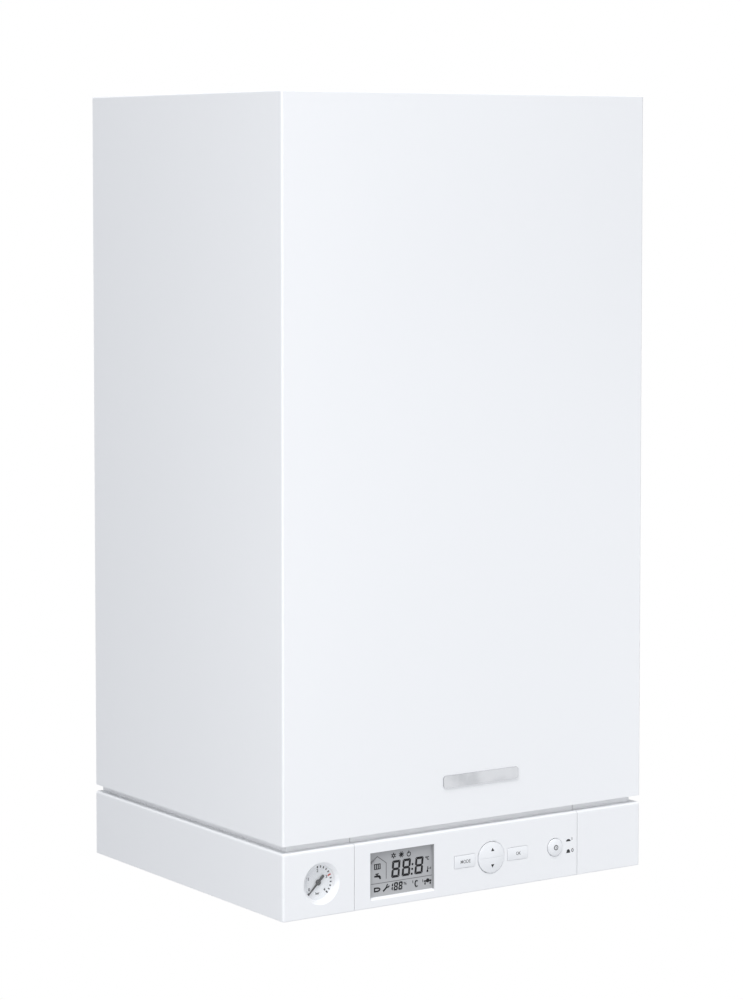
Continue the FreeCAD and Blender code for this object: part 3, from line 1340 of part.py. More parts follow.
def electrodes():
    """Two ignition electrodes and one flame sensor in ceramic sleeves."""
    z = CHAMBER_FOOT + ELECTRODE_RISE
    lining = CHAMBER_FRONT + CHAMBER_SHEET + INSULATION
    rods = []
    for x in ELECTRODE_PLACES:
        seat = CHAMBER_FRONT - ELECTRODE_FLANGE_THICKNESS
        sleeve = deep(ELECTRODE_RADIUS, x, z, seat - ELECTRODE_TAIL, lining)
        flange = deep(ELECTRODE_FLANGE, x, z, seat, CHAMBER_FRONT)
        wire = deep(ELECTRODE_WIRE, x, z, CHAMBER_FRONT, CHAMBER_FRONT + ELECTRODE_REACH)
        rods.append(union(sleeve, flange, wire))
    return group(rods)


# Primary heat exchanger

def exchanger_fins():
    """Row of thin copper fins through which the tubes pass."""
    y = (CHAMBER_Y - FIN_DEPTH / 2, CHAMBER_Y + FIN_DEPTH / 2)
    z = (TUBE_Z - FIN_HEIGHT / 2, TUBE_Z + FIN_HEIGHT / 2)
    first = -(FIN_COUNT - 1) / 2 * FIN_PITCH
    fin = block((first - FIN_THICKNESS / 2, first + FIN_THICKNESS / 2), y, z)
    span = (first - FIN_THICKNESS, first + FIN_THICKNESS)
    fin = fin.cut([across(TUBE_RADIUS + SLIP, py, TUBE_Z, span[0], span[1]) for py in PASS_Y])
    return group(fin.translated(V(FIN_PITCH * i, 0, 0)) for i in range(FIN_COUNT))


def exchanger_tubes():
    """One copper tube that crosses the chamber in five passes, with return bends outside its walls."""
    turn = CHAMBER_HALF + TUBE_BEND_START
    edges = []
    way = -1
    for i, y in enumerate(PASS_Y):
        start = V(-way * (TUBE_REACH if i == 0 else turn), y, TUBE_Z)
        end = V(way * (TUBE_REACH if i == TUBE_PASSES - 1 else turn), y, TUBE_Z)
        edges.append(Part.LineSegment(start, end).toShape())
        if i < TUBE_PASSES - 1:
            crown = V(way * (turn + TUBE_PITCH / 2), y + TUBE_PITCH / 2, TUBE_Z)
            edges.append(Part.Arc(end, crown, V(way * turn, y + TUBE_PITCH, TUBE_Z)).toShape())
        way = -way
    path = Part.Wire(edges)
    start = V(TUBE_REACH, PASS_Y[0], TUBE_Z)
    radii = (TUBE_RADIUS, TUBE_RADIUS - PIPE_WALL)
    rings = [Part.Wire(Part.makeCircle(r, start, V(-1, 0, 0))) for r in radii]
    outer, bore = [path.makePipeShell([ring], True, False) for ring in rings]
    return outer.cut(bore)


# Fan and flue

def flue_hood():
    """Shallow hood over the exchanger with a riser at the back that feeds the eye of the fan."""
    hood = block((-CHAMBER_HALF, CHAMBER_HALF), (CHAMBER_FRONT, CHAMBER_BACK), (CHAMBER_TOP, HOOD_TOP))
    riser_x = (FAN_X - RISER_WIDTH / 2, FAN_X + RISER_WIDTH / 2)
    riser = block(riser_x, (FAN_BACK, CHAMBER_BACK), (HOOD_TOP, DUCT_TOP))
    t = HOOD_SHEET
    hollow_y = (CHAMBER_FRONT + t, CHAMBER_BACK - t)
    hollow = block((-CHAMBER_HALF + t, CHAMBER_HALF - t), hollow_y, (CHAMBER_TOP, HOOD_TOP - t))
    shaft_x = (riser_x[0] + t, riser_x[1] - t)
    shaft = block(shaft_x, (FAN_BACK + t, CHAMBER_BACK - t), (HOOD_TOP - t, DUCT_TOP - t))
    eye = deep(EYE_RADIUS, FAN_X, FAN_Z, FAN_BACK, FAN_BACK + t)
    return union(hood, riser).cut([hollow, shaft, eye])


def scroll(grow, y):
    """Solid of the fan scroll and its upright duct, grown by a wall, over a depth range."""
    start = SCROLL_START + grow
    step = SCROLL_STEP
    front = y[0]
    left = FAN_X - DUCT_WIDTH - grow
    top = DUCT_TOP + grow
    centres = [(FAN_X, FAN_Z), (FAN_X - step, FAN_Z), (FAN_X - step, FAN_Z + step)]
    edges = []
    for i, (cx, cz) in enumerate(centres):
        radius = start + i * step
        first = math.pi / 2 * (1 - i) if i else math.acos(grow / radius)
        last = -math.pi / 2 * i
        turns = [first, (first + last) / 2, last]
        points = [V(cx + radius * math.cos(t), front, cz + radius * math.sin(t)) for t in turns]
        edges.append(Part.Arc(*points).toShape())
    tongue = FAN_Z + math.sqrt(start ** 2 - grow ** 2)
    corners = [V(left, front, FAN_Z + step), V(left, front, top), V(FAN_X + grow, front, top)]
    corners.append(V(FAN_X + grow, front, tongue))
    edges += [Part.LineSegment(a, b).toShape() for a, b in zip(corners, corners[1:])]
    return Part.Face(Part.Wire(edges)).extrude(V(0, y[1] - y[0], 0))


def fan_housing():
    """Scroll of the fan with the round flue spigot on its duct."""
    shell = scroll(FAN_WALL, (FAN_FRONT, FAN_BACK))
    spigot = upright(FLUE_RADIUS + FAN_WALL, 0, FLUE_Y, DUCT_TOP, SPIGOT_TOP)
    hollow = scroll(0, (FAN_FRONT + FAN_WALL, FAN_BACK - FAN_WALL))
    flue = upright(FLUE_RADIUS, 0, FLUE_Y, DUCT_TOP - FAN_WALL, SPIGOT_TOP)
    eye = deep(EYE_RADIUS, FAN_X, FAN_Z, FAN_BACK - FAN_WALL, FAN_BACK)
    shaft = deep(FAN_SHAFT + SHAFT_CLEAR, FAN_X, FAN_Z, FAN_FRONT, FAN_FRONT + FAN_WALL)
    return union(shell, spigot).cut([hollow, flue, eye, shaft])


def fan_impeller():
    """Blade wheel with its back plate, inlet ring, hub and shaft."""
    front = FAN_FRONT + FAN_WALL + IMPELLER_GAP
    back = FAN_BACK - FAN_WALL - IMPELLER_GAP
    inner = IMPELLER_RADIUS - IMPELLER_BLADE_DEPTH
    pieces = [deep(IMPELLER_RADIUS, FAN_X, FAN_Z, front, front + IMPELLER_PLATE)]
    pieces.append(deep_tube(IMPELLER_RADIUS, inner, FAN_X, FAN_Z, back - IMPELLER_PLATE, back))
    pieces.append(deep(IMPELLER_HUB, FAN_X, FAN_Z, front, front + IMPELLER_HUB_LENGTH))
    end = front + IMPELLER_HUB_LENGTH
    pieces.append(deep(FAN_SHAFT, FAN_X, FAN_Z, end - FAN_SHAFT_LENGTH, end))
    thick = IMPELLER_BLADE / 2
    blade_x = (inner + IMPELLER_BLADE, IMPELLER_RADIUS - IMPELLER_BLADE)
    blade = block(blade_x, (front + IMPELLER_PLATE / 2, back - IMPELLER_PLATE / 2), (-thick, thick))
    blade.translate(V(FAN_X, 0, FAN_Z))
    for i in range(IMPELLER_BLADES):
        copy = blade.copy()
        copy.rotate(V(FAN_X, 0, FAN_Z), V(0, 1, 0), 360.0 / IMPELLER_BLADES * i)
        pieces.append(copy)
    return union(*pieces)


def fan_motor():
    """Motor on the front of the scroll, with the bearing of the impeller shaft."""
    plate_end = FAN_FRONT - FAN_MOTOR_PLATE_THICKNESS
    plate = deep(FAN_MOTOR_PLATE, FAN_X, FAN_Z, plate_end, FAN_FRONT)
    end = FAN_FRONT - FAN_MOTOR_LENGTH
    can = deep(FAN_MOTOR_RADIUS, FAN_X, FAN_Z, end, FAN_FRONT)
    bore = deep(FAN_SHAFT + RUNNING, FAN_X, FAN_Z, FAN_FRONT - FAN_SHAFT_LENGTH, FAN_FRONT)
    return union(plate, can).cut(bore)


def air_pressure_switch():
    """Round pressure switch on the wall of the sealed chamber, and its hose to the fan duct."""
    wall = -AIR_HALF + AIR_SHEET
    face = wall + AIR_SWITCH_DEPTH
    hose_y = FAN_FRONT + 3 * HOSE_RADIUS
    y = hose_y - AIR_SWITCH_RADIUS + 2 * HOSE_RADIUS
    z = (FAN_Z + SCROLL_STEP + DUCT_TOP) / 2
    disc = across(AIR_SWITCH_RADIUS, y, z, wall, face)
    cap = across(AIR_SWITCH_CAP, y, z, face, face + AIR_SWITCH_CAP_DEPTH)
    hose = across(HOSE_RADIUS, hose_y, z, face, FAN_X - DUCT_WIDTH - FAN_WALL)
    return group([union(disc, cap), hose])


# Expansion vessel

def vessel_body(inset):
    """Flat rounded body of the vessel, shrunk all round by an inset."""
    half = VESSEL_HALF - inset
    y = (CHASSIS_FACE - VESSEL_DEPTH + inset, CHASSIS_FACE - inset)
    z = (VESSEL_FOOT + inset, VESSEL_TOP - inset)
    body = eased(block((-half, half), y, z), VESSEL_CORNER - inset, 1)
    rims = [e for e in body.Edges if e.BoundBox.YLength < SLIP]
    return body.makeFillet(VESSEL_EDGE - inset, rims)


def expansion_vessel():
    """Hollow pressed vessel with the crimped seam round its middle."""
    half = VESSEL_HALF + VESSEL_SEAM
    middle = CHASSIS_FACE - VESSEL_DEPTH / 2
    y = (middle - VESSEL_SEAM_THICKNESS / 2, middle + VESSEL_SEAM_THICKNESS / 2)
    z = (VESSEL_FOOT - VESSEL_SEAM, VESSEL_TOP + VESSEL_SEAM)
    seam = eased(block((-half, half), y, z), VESSEL_CORNER + VESSEL_SEAM, 1)
    return union(vessel_body(0), seam).cut(vessel_body(VESSEL_WALL))


# Water side

def block_body(x, top):
    """Brass casting above one heating stub."""
    half = BLOCK_WIDTH / 2
    return bars((x - half, x + half), (BLOCK_FRONT_Y, BLOCK_REAR_Y), (FITTING_TOP, top), BLOCK_EASE)


def exchanger_port(x, side):
    """Stub that joins a block to the end of the plate exchanger."""
    z = FITTING_TOP + PORT_RISE
    return across(PORT_RADIUS, PLATE_Y, z, x, side * PLATE_HALF)


def flow_block():
    """Flow casting: exchanger port, supply neck, diverter neck with its bore, safety-valve seat."""
    supply = upright(NECK_RADIUS, SUPPLY_X, SUPPLY_Y, FITTING_TOP, FLOW_BLOCK_TOP + NECK_HEIGHT)
    diverter = upright(YOKE_RADIUS, DIVERTER_X, DIVERTER_Y, FITTING_TOP, DIVERTER_Z)
    seat = deep(SAFETY_PORT, FLOW_X, SAFETY_Z, CONNECTION_Y, SAFETY_SEAT)
    casting = union(block_body(FLOW_X, FLOW_BLOCK_TOP), supply, diverter, seat, exchanger_port(FLOW_X, -1))
    depth = STEM_DEPTH + SWING_GAP
    guide = upright(STEM_RADIUS + RUNNING, DIVERTER_X, DIVERTER_Y, DIVERTER_Z - depth, DIVERTER_Z)
    return casting.cut(guide)


def diverter_actuator():
    """Motor head on a windowed yoke, with the upper guide of the stem."""
    top = ACTUATOR_FOOT + ACTUATOR_HEIGHT
    head = upright(ACTUATOR_RADIUS, DIVERTER_X, DIVERTER_Y, ACTUATOR_FOOT, top)
    cap = upright(ACTUATOR_RADIUS - ACTUATOR_CAP, DIVERTER_X, DIVERTER_Y, top, top + ACTUATOR_CAP)
    yoke = upright_tube(YOKE_RADIUS, YOKE_BORE, DIVERTER_X, DIVERTER_Y, DIVERTER_Z, ACTUATOR_FOOT)
    window_x = (DIVERTER_X - YOKE_WINDOW / 2, DIVERTER_X + YOKE_WINDOW / 2)
    window_y = (DIVERTER_Y - YOKE_RADIUS, DIVERTER_Y)
    yoke = yoke.cut(block(window_x, window_y, (DIVERTER_Z + YOKE_LEDGE, ACTUATOR_FOOT - YOKE_LEDGE)))
    guide_end = ACTUATOR_FOOT + STEM_HEIGHT
    guide = upright(STEM_RADIUS + RUNNING, DIVERTER_X, DIVERTER_Y, ACTUATOR_FOOT, guide_end)
    return union(head, cap, yoke).cut(guide)


def diverter_stem():
    """Sliding stem of the diverter valve with a collar in the yoke."""
    x, y = DIVERTER_X, DIVERTER_Y
    stem = upright(STEM_RADIUS, x, y, DIVERTER_Z - STEM_DEPTH, DIVERTER_Z + STEM_HEIGHT)
    collar_foot = DIVERTER_Z + STEM_COLLAR_RISE
    collar = upright(STEM_COLLAR, x, y, collar_foot, collar_foot + STEM_COLLAR_HEIGHT)
    return union(stem, collar)


def plate_exchanger():
    """Brazed stack of plates between the two blocks, with the two tap-water ports below."""
    thick = PLATE_COUNT * PLATE_PITCH
    z = (PLATE_FOOT, PLATE_FOOT + PLATE_HEIGHT)
    front = PLATE_Y - thick / 2
    inset = PLATE_HALF - PLATE_STEP
    core_z = (z[0] + PLATE_STEP, z[1] - PLATE_STEP)
    stack = [eased(block((-inset, inset), (front, front + thick), core_z), PLATE_CORNER - PLATE_STEP, 1)]
    for i in range(PLATE_COUNT):
        y = front + i * PLATE_PITCH
        stack.append(eased(block((-PLATE_HALF, PLATE_HALF), (y, y + PLATE_SOLID), z), PLATE_CORNER, 1))
    for side in (-1, 1):
        x = side * CONNECTION_PITCH
        low = PLATE_FOOT - PLATE_PORT_LENGTH
        stack.append(upright(PLATE_PORT, x, CONNECTION_Y, low, PLATE_FOOT + PLATE_PORT_LENGTH))
    return union(*stack)


def return_block():
    """Return casting: exchanger port, pump volute and outlet, filling-tap body."""
    x, z = PUMP_X, PUMP_Z
    volute = deep(VOLUTE_RADIUS, x, z, VOLUTE_FRONT, VOLUTE_REAR)
    outlet = upright(PUMP_OUTLET_RADIUS, PUMP_OUTLET_X, PUMP_OUTLET_Y, z, PUMP_OUTLET_Z)
    tap = upright(FILLING_BODY, FILLING_X, FILLING_Y, FILLING_FOOT, FITTING_TOP + FILLING_BODY)
    body = block_body(RETURN_X, RETURN_BLOCK_TOP)
    casting = union(body, volute, outlet, tap, exchanger_port(RETURN_X, 1))
    cavity = deep(ROTOR_CAVITY, x, z, VOLUTE_FRONT, VOLUTE_FRONT + ROTOR_CAVITY_DEPTH)
    spindle_top = FILLING_FOOT + FILLING_SPINDLE + BORE_SPARE
    spindle = upright(SPINDLE_RADIUS + RUNNING, FILLING_X, FILLING_Y, FILLING_FOOT, spindle_top)
    return casting.cut([cavity, spindle])


def pump_motor():
    """Motor can with its flange, terminal box, vent screw cap and the shaft bearing."""
    x, z = PUMP_X, PUMP_Z
    end = VOLUTE_FRONT - PUMP_MOTOR_LENGTH
    can = deep(PUMP_MOTOR_RADIUS, x, z, end, VOLUTE_FRONT)
    flange = deep(VOLUTE_RADIUS, x, z, VOLUTE_FRONT - PUMP_FLANGE, VOLUTE_FRONT)
    cap = deep(PUMP_SCREW_CAP, x, z, end - PUMP_SCREW_CAP_DEPTH, end)
    start = VOLUTE_FRONT - TERMINAL_INSET
    half = TERMINAL_WIDTH / 2
    terminal_y = (start - TERMINAL_LENGTH, start)
    terminal = bars((x - half, x + half), terminal_y, (z, z + TERMINAL_RISE), BLOCK_EASE)
    bearing_end = VOLUTE_FRONT - PUMP_SHAFT_LENGTH
    bearing = deep(PUMP_SHAFT + RUNNING, x, z, bearing_end, VOLUTE_FRONT)
    return union(can, flange, cap, terminal).cut(bearing)


def pump_rotor():
    """Impeller of the pump on its shaft."""
    x, z = PUMP_X, PUMP_Z
    front = VOLUTE_FRONT + PUMP_IMPELLER_GAP
    plate_end = front + PUMP_IMPELLER_PLATE
    wheel = deep(PUMP_IMPELLER, x, z, front, plate_end)
    shaft = deep(PUMP_SHAFT, x, z, plate_end - PUMP_SHAFT_LENGTH, plate_end + PUMP_VANE_HEIGHT)
    half = PUMP_IMPELLER_PLATE / 2
    vane = block((0, PUMP_IMPELLER - half), (plate_end, plate_end + PUMP_VANE_HEIGHT), (-half, half))
    vane.translate(V(x, 0, z))
    vanes = []
    for i in range(PUMP_VANES):
        copy = vane.copy()
        copy.rotate(V(x, 0, z), V(0, 1, 0), 360.0 / PUMP_VANES * i)
        vanes.append(copy)
    return union(wheel, shaft, *vanes)


def air_vent():
    """Automatic air vent on the return block."""
    x = RETURN_X + VENT_DX
    y = CONNECTION_Y + VENT_DY
    top = RETURN_BLOCK_TOP + VENT_HEIGHT
    body = upright(VENT_RADIUS, x, y, RETURN_BLOCK_TOP, top)
    return union(body, upright(VENT_CAP, x, y, top, top + VENT_CAP_HEIGHT))


def safety_valve():
    """Brass relief valve on the flow block with its outlet pointing down and the knob's spindle."""
    x, z = FLOW_X, SAFETY_Z
    body_end = SAFETY_SEAT - SAFETY_LENGTH
    body = deep(SAFETY_RADIUS, x, z, body_end, SAFETY_SEAT)
    middle = (body_end + SAFETY_SEAT) / 2
    outlet = upright(SAFETY_OUTLET, x, middle, z - SAFETY_OUTLET_DROP, z)
    bonnet = deep(SAFETY_BONNET, x, z, SAFETY_NOSE, body_end)
    spindle = deep(SPINDLE_RADIUS, x, z, SAFETY_NOSE - SAFETY_SPINDLE, SAFETY_NOSE)
    return union(body, outlet, bonnet, spindle)


def fluted(radius, start, end):
    """Round knob with finger flutes along its rim."""
    knob = rod(radius, start, end)
    run = V(*end) - V(*start)
    side = V(1, 0, 0) * radius
    flute = Part.makeCylinder(FLUTE_RADIUS, run.Length, V(*start) + side, run)
    flutes = []
    for i in range(KNOB_FLUTES):
        copy = flute.copy()
        copy.rotate(V(*start), run, 360.0 / KNOB_FLUTES * i)
        flutes.append(copy)
    return knob.cut(flutes)


def safety_knob():
    """Cap of the relief valve, turned to let water off."""
    x, z = FLOW_X, SAFETY_Z
    rear = SAFETY_NOSE - KNOB_GAP
    knob = fluted(SAFETY_KNOB_RADIUS, (x, rear, z), (x, rear - SAFETY_KNOB_LENGTH, z))
    return knob.cut(deep(SPINDLE_RADIUS + RUNNING, x, z, SAFETY_NOSE - SAFETY_SPINDLE - BORE_SPARE, rear))


def filling_knob():
    """Filling tap knob below the return block, with its spindle."""
    x, y = FILLING_X, FILLING_Y
    top = FILLING_FOOT - KNOB_GAP
    knob = fluted(FILLING_KNOB_RADIUS, (x, y, top - FILLING_KNOB_LENGTH), (x, y, top))
    spindle = upright(SPINDLE_RADIUS, x, y, top, FILLING_FOOT + FILLING_SPINDLE)
    return union(knob, spindle)


def copper_pipes():
    """Supply, return, vessel and tap-water pipes, and the capillary of the gauge."""
    supply_run = AIR_FLOOR - SUPPLY_RUN_DROP
    supply_end = FLOW_BLOCK_TOP + NECK_HEIGHT
    last = PASS_Y[-1]
    supply = [(-TUBE_REACH, last, TUBE_Z), (-DROP_X, last, TUBE_Z), (-DROP_X, last, supply_run)]
    supply += [(SUPPLY_X, SUPPLY_Y, supply_run), (SUPPLY_X, SUPPLY_Y, supply_end)]
    return_run = AIR_FLOOR - RETURN_RUN_DROP
    back = [(TUBE_REACH, PASS_Y[0], TUBE_Z), (DROP_X, PASS_Y[0], TUBE_Z), (DROP_X, PASS_Y[0], return_run)]
    back += [(PUMP_OUTLET_X, PUMP_OUTLET_Y, return_run), (PUMP_OUTLET_X, PUMP_OUTLET_Y, PUMP_OUTLET_Z)]
    pipes = [bent_tube(points, TUBE_RADIUS, PIPE_BEND) for points in (supply, back)]
    bore = VESSEL_PIPE - PIPE_WALL
    top = VESSEL_FOOT - VESSEL_SEAM
    pipes.append(upright_tube(VESSEL_PIPE, bore, VESSEL_PIPE_X, VESSEL_PIPE_Y, RETURN_BLOCK_TOP, top))
    for side in (-1, 1):
        x = side * CONNECTION_PITCH
        end = PLATE_FOOT - PLATE_PORT_LENGTH
        pipes.append(upright_tube(WATER_PIPE, WATER_PIPE - PIPE_WALL, x, CONNECTION_Y, FITTING_TOP, end))
    nose = FRONT + GAUGE_BEVEL_DEPTH + GAUGE_DEPTH + GAUGE_NOSE_LENGTH
    level = BOTTOM + CAPILLARY_LEVEL
    climb = nose + CAPILLARY_RUN
    end_x = FLOW_X + CAPILLARY_DX
    line = [(GAUGE_X, nose, CONTROL_Z), (GAUGE_X, climb, CONTROL_Z), (GAUGE_X, climb + CAPILLARY_RUN, level)]
    line += [(end_x, BLOCK_FRONT_Y - CAPILLARY_RUN, level), (end_x, BLOCK_FRONT_Y, level)]
    pipes.append(bent_bar(line, CAPILLARY_RADIUS, CAPILLARY_BEND))
    return group(pipes)


# Gas side

def gas_valve():
    """Die-cast gas valve with its inlet and outlet flanges and the regulator cap."""
    centre = GAS_OFFSET
    x = (centre - GAS_WIDTH / 2, centre + GAS_WIDTH / 2)
    y = (GAS_Y - GAS_DEPTH / 2, GAS_Y + GAS_DEPTH / 2)
    body = bars(x, y, (GAS_BODY_FOOT, GAS_BODY_TOP), BLOCK_EASE)
    half = GAS_FLANGE / 2
    inlet = block((-half, half), (GAS_Y - half, GAS_Y + half), (GAS_FOOT, GAS_BODY_FOOT))
    outlet_x = (GAS_OUTLET_DX - half, GAS_OUTLET_DX + half)
    outlet = block(outlet_x, (GAS_Y - half, GAS_Y + half), (GAS_BODY_TOP, GAS_TOP))
    middle = (GAS_BODY_FOOT + GAS_BODY_TOP) / 2
    cap = across(GAS_REGULATOR, GAS_Y, middle, x[0] - GAS_REGULATOR_LENGTH, x[0])
    return union(body, inlet, outlet, cap)


def gas_valve_coils():
    """Two solenoid coils on the front of the gas valve."""
    front = GAS_Y - GAS_DEPTH / 2
    middle = (GAS_BODY_FOOT + GAS_BODY_TOP) / 2
    coils = []
    for side in (-1, 1):
        z = middle + side * COIL_SPACING / 2
        coils.append(deep(COIL_RADIUS, GAS_OFFSET, z, front - COIL_LENGTH, front))
    return group(coils)


def gas_pipe():
    """Gas pipe in two lengths: stub to valve, and valve to manifold."""
    run = FITTING_TOP + GAS_RUN_RISE
    lower = [(0, CONNECTION_Y, FITTING_TOP), (0, CONNECTION_Y, run), (0, GAS_Y, run), (0, GAS_Y, GAS_FOOT)]
    high_run = AIR_FLOOR - GAS_UPPER_RUN
    x = GAS_OUTLET_DX
    upper = [(x, GAS_Y, GAS_TOP), (x, GAS_Y, high_run)]
    upper += [(x, MANIFOLD_Y, high_run), (x, MANIFOLD_Y, MANIFOLD_FOOT)]
    return group(bent_tube(points, GAS_PIPE, PIPE_BEND) for points in (lower, upper))


RING = fascia_ring()

NODES = {
    "wall_bracket": wall_bracket(),
    "wall_spacers": wall_spacers(),
    "chassis_back": chassis_back(),
    "lower_frame": lower_frame(),
    "sheet_screws": sheet_screws(),
    "front_cover": front_cover(),
    "badge_plate": badge_plate(),
    "fascia_left": fascia_left(RING),
    "fascia_right": fascia_end(RING, 1),
    "control_panel": control_panel(RING),
    "control_box": control_box(),
    "hinge_pins": hinge_pins(),
    "lcd_module": lcd_module(),
    "circuit_boards": circuit_boards(),
    "power_switch": power_switch(),
    "mode_button": flat_key(ROCKER_X - KEY_PITCH),
    "ok_button": flat_key(ROCKER_X + KEY_PITCH),
    "rocker_button": rocker_button(),
    "power_button": power_button(),
    "gauge_case": gauge_case(),
    "gauge_dial": gauge_dial(),
    "gauge_needle": gauge_needle(),
    "gauge_lens": gauge_lens(),
    "connection_bracket": connection_bracket(),
    "pipe_fittings": pipe_fittings(),
    "union_nuts": union_nuts(),
    "cable_gland": cable_gland(),
    "air_box": air_box(),
    "air_box_top": air_box_top(),
    "flue_gasket": flue_gasket(),
    "chamber_seal": chamber_seal(),
    "chamber_lid": chamber_lid(),
    "combustion_chamber": combustion_chamber(),
    "chamber_insulation": chamber_insulation(),
    "burner_rack": burner_rack(),
    "gas_manifold": gas_manifold(),
    "electrodes": electrodes(),
    "exchanger_fins": exchanger_fins(),
    "exchanger_tubes": exchanger_tubes(),
    "flue_hood": flue_hood(),
    "fan_housing": fan_housing(),
    "fan_impeller": fan_impeller(),
    "fan_motor": fan_motor(),
    "air_pressure_switch": air_pressure_switch(),
    "expansion_vessel": expansion_vessel(),
    "flow_block": flow_block(),
    "return_block": return_block(),
    "diverter_actuator": diverter_actuator(),
    "diverter_stem": diverter_stem(),
    "plate_exchanger": plate_exchanger(),
    "pump_motor": pump_motor(),
    "pump_rotor": pump_rotor(),
    "air_vent": air_vent(),
    "safety_valve": safety_valve(),
    "safety_knob": safety_knob(),
    "filling_knob": filling_knob(),
    "gas_valve": gas_valve(),
    "gas_valve_coils": gas_valve_coils(),
    "gas_pipe": gas_pipe(),
    "copper_pipes": copper_pipes(),
}

os.makedirs("parts", exist_ok=True)
for name, shape in NODES.items():
    shape.exportStep("parts/" + name + ".step")
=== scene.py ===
"""Looks of a white wall-hung gas boiler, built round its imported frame.

Metres, in the frame of the part: X to the right, Z up, the wall at Y = 0, the front towards -Y.
"""

import math

import bmesh
import bpy
from mathutils import Matrix, Vector
from mathutils.bvhtree import BVHTree


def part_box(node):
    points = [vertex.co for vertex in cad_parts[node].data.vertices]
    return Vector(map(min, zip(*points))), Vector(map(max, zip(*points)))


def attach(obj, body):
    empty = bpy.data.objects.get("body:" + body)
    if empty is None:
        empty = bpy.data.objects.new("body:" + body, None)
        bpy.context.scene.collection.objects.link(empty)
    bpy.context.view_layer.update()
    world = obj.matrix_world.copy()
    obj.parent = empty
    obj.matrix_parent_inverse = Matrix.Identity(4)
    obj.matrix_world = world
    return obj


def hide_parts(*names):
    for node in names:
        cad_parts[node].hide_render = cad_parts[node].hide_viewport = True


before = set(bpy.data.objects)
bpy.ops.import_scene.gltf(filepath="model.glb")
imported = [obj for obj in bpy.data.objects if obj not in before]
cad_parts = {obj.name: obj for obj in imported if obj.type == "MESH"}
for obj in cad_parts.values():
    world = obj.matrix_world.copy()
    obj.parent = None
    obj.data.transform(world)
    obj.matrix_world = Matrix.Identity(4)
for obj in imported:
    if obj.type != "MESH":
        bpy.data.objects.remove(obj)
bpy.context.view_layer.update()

MM = 0.001


def middle_of(node):
    """Where a node's middle lies, across and up, in millimetres."""
    low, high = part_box(node)
    return (low.x + high.x) / 2 / MM, (low.z + high.z) / 2 / MM


def beyond(centre, across, up):
    """A point beside another."""
    return centre[0] + across, centre[1] + up


# Printed marks, in millimetres
PRINT_PROUD = 0.05
PRINT_SUNK = 0.05
FRONT = -1.0
BACK = 1.0
LAY_FROM = -1000.0
LETTER_DEPTH = 0.5
LETTER_STEPS = 4
MITRE_LEAST = 0.4
MERGE_REACH = 0.001

# Keys, in millimetres
MODE_CENTRE = middle_of("mode_button")
OK_CENTRE = middle_of("ok_button")
ROCKER_CENTRE = middle_of("rocker_button")
POWER_CENTRE = middle_of("power_button")
SWITCH_MARKS = beyond(POWER_CENTRE, 15.7, 0.0)
WORD_PLACE = (0.6, 0.0)
WORD_HIGH = 3.2
WORD_WEIGHT = 0.01
MODE_WIDE = 11.0
OK_WIDE = 5.4
ARROW_LEVELS = ((1, 7.5), (-1, -7.8))
ARROW_SPAN = (-1.4, 0.45, 2.3)
ARROW_HALF = 1.6

# Display, in millimetres from its lower left corner
LCD_CORNER = beyond(middle_of("lcd_module"), -33.0, -19.5)
LCD_HIGH = 39.0
LCD_SPAN = (-1.0, 67.0)
LCD_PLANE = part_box("control_box")[0].y / MM
SEGMENT_MITRE = 0.6
ALL_SEGMENTS = "abcdefg"
BIG_FIGURES = ((22.3, ALL_SEGMENTS), (33.7, ALL_SEGMENTS), (47.6, ALL_SEGMENTS))
BIG_FIGURE = {"level": 14.0, "size": (9.0, 15.6), "lean": 1.4, "thick": 2.25, "gap": 0.1}
SMALL_FIGURES = ((19.7, "bc"), (25.0, ALL_SEGMENTS), (30.1, ALL_SEGMENTS))
SMALL_FIGURE = {"level": 2.3, "size": (4.3, 7.4), "lean": 0.7, "thick": 1.4, "gap": 0.06}
COLON = ((45.7, 23.8), (45.3, 19.5), (44.8, 15.1))
COLON_RADIUS = 1.05
TAP_BODY = [(4.0, 16.9), (5.6, 16.7), (8.2, 16.6), (9.3, 16.0), (9.6, 14.7), (11.3, 14.7), (11.1, 17.0),
            (10.0, 18.3), (7.9, 18.5), (7.9, 19.2), (6.3, 19.2), (6.3, 18.5), (4.0, 18.3)]
TAP_HANDLE = [(5.2, 19.6), (9.0, 19.8)]
RADIATOR_COLUMNS = (4.5, 6.45, 8.4, 10.35)
RADIATOR_RAILS = (24.1, 28.5)
SNOW_CENTRE = (25.0, 34.1)
SUN_CENTRE = (33.5, 34.1)
TIMER_CENTRE = (41.6, 33.5)
HOUSE_ROOF = [(LCD_SPAN[0], 29.4), (7.55, 35.4), (17.0, 28.6), (17.0, 14.25)]
RULE = [(LCD_SPAN[0], 11.05), (LCD_SPAN[1], 11.05)]

# Pressure dial, in millimetres and degrees
GAUGE_CENTRE = middle_of("gauge_dial")
DIAL_ZERO = 225.0
DIAL_SWEEP = 270.0
DIAL_TOP = 4
DIAL_LIMIT = 3
DIAL_FINE_FROM = 2
DIAL_MINOR = 5
DIAL_STEP = DIAL_SWEEP / DIAL_TOP
TICK_REACH = 15.0
LONG_TICK = (2.5, 1.3)
LIMIT_TICK = (3.2, 1.5)
SHORT_TICK = (1.9, 1.1)
NUMERAL_REACH = 10.3
NUMERAL_HIGH = 2.7
NUMERAL_WEIGHT = 0.03
ZERO_ASIDE = 14.0
UNIT_PLACE = (0.0, -9.8)
UNIT_HIGH = 2.3

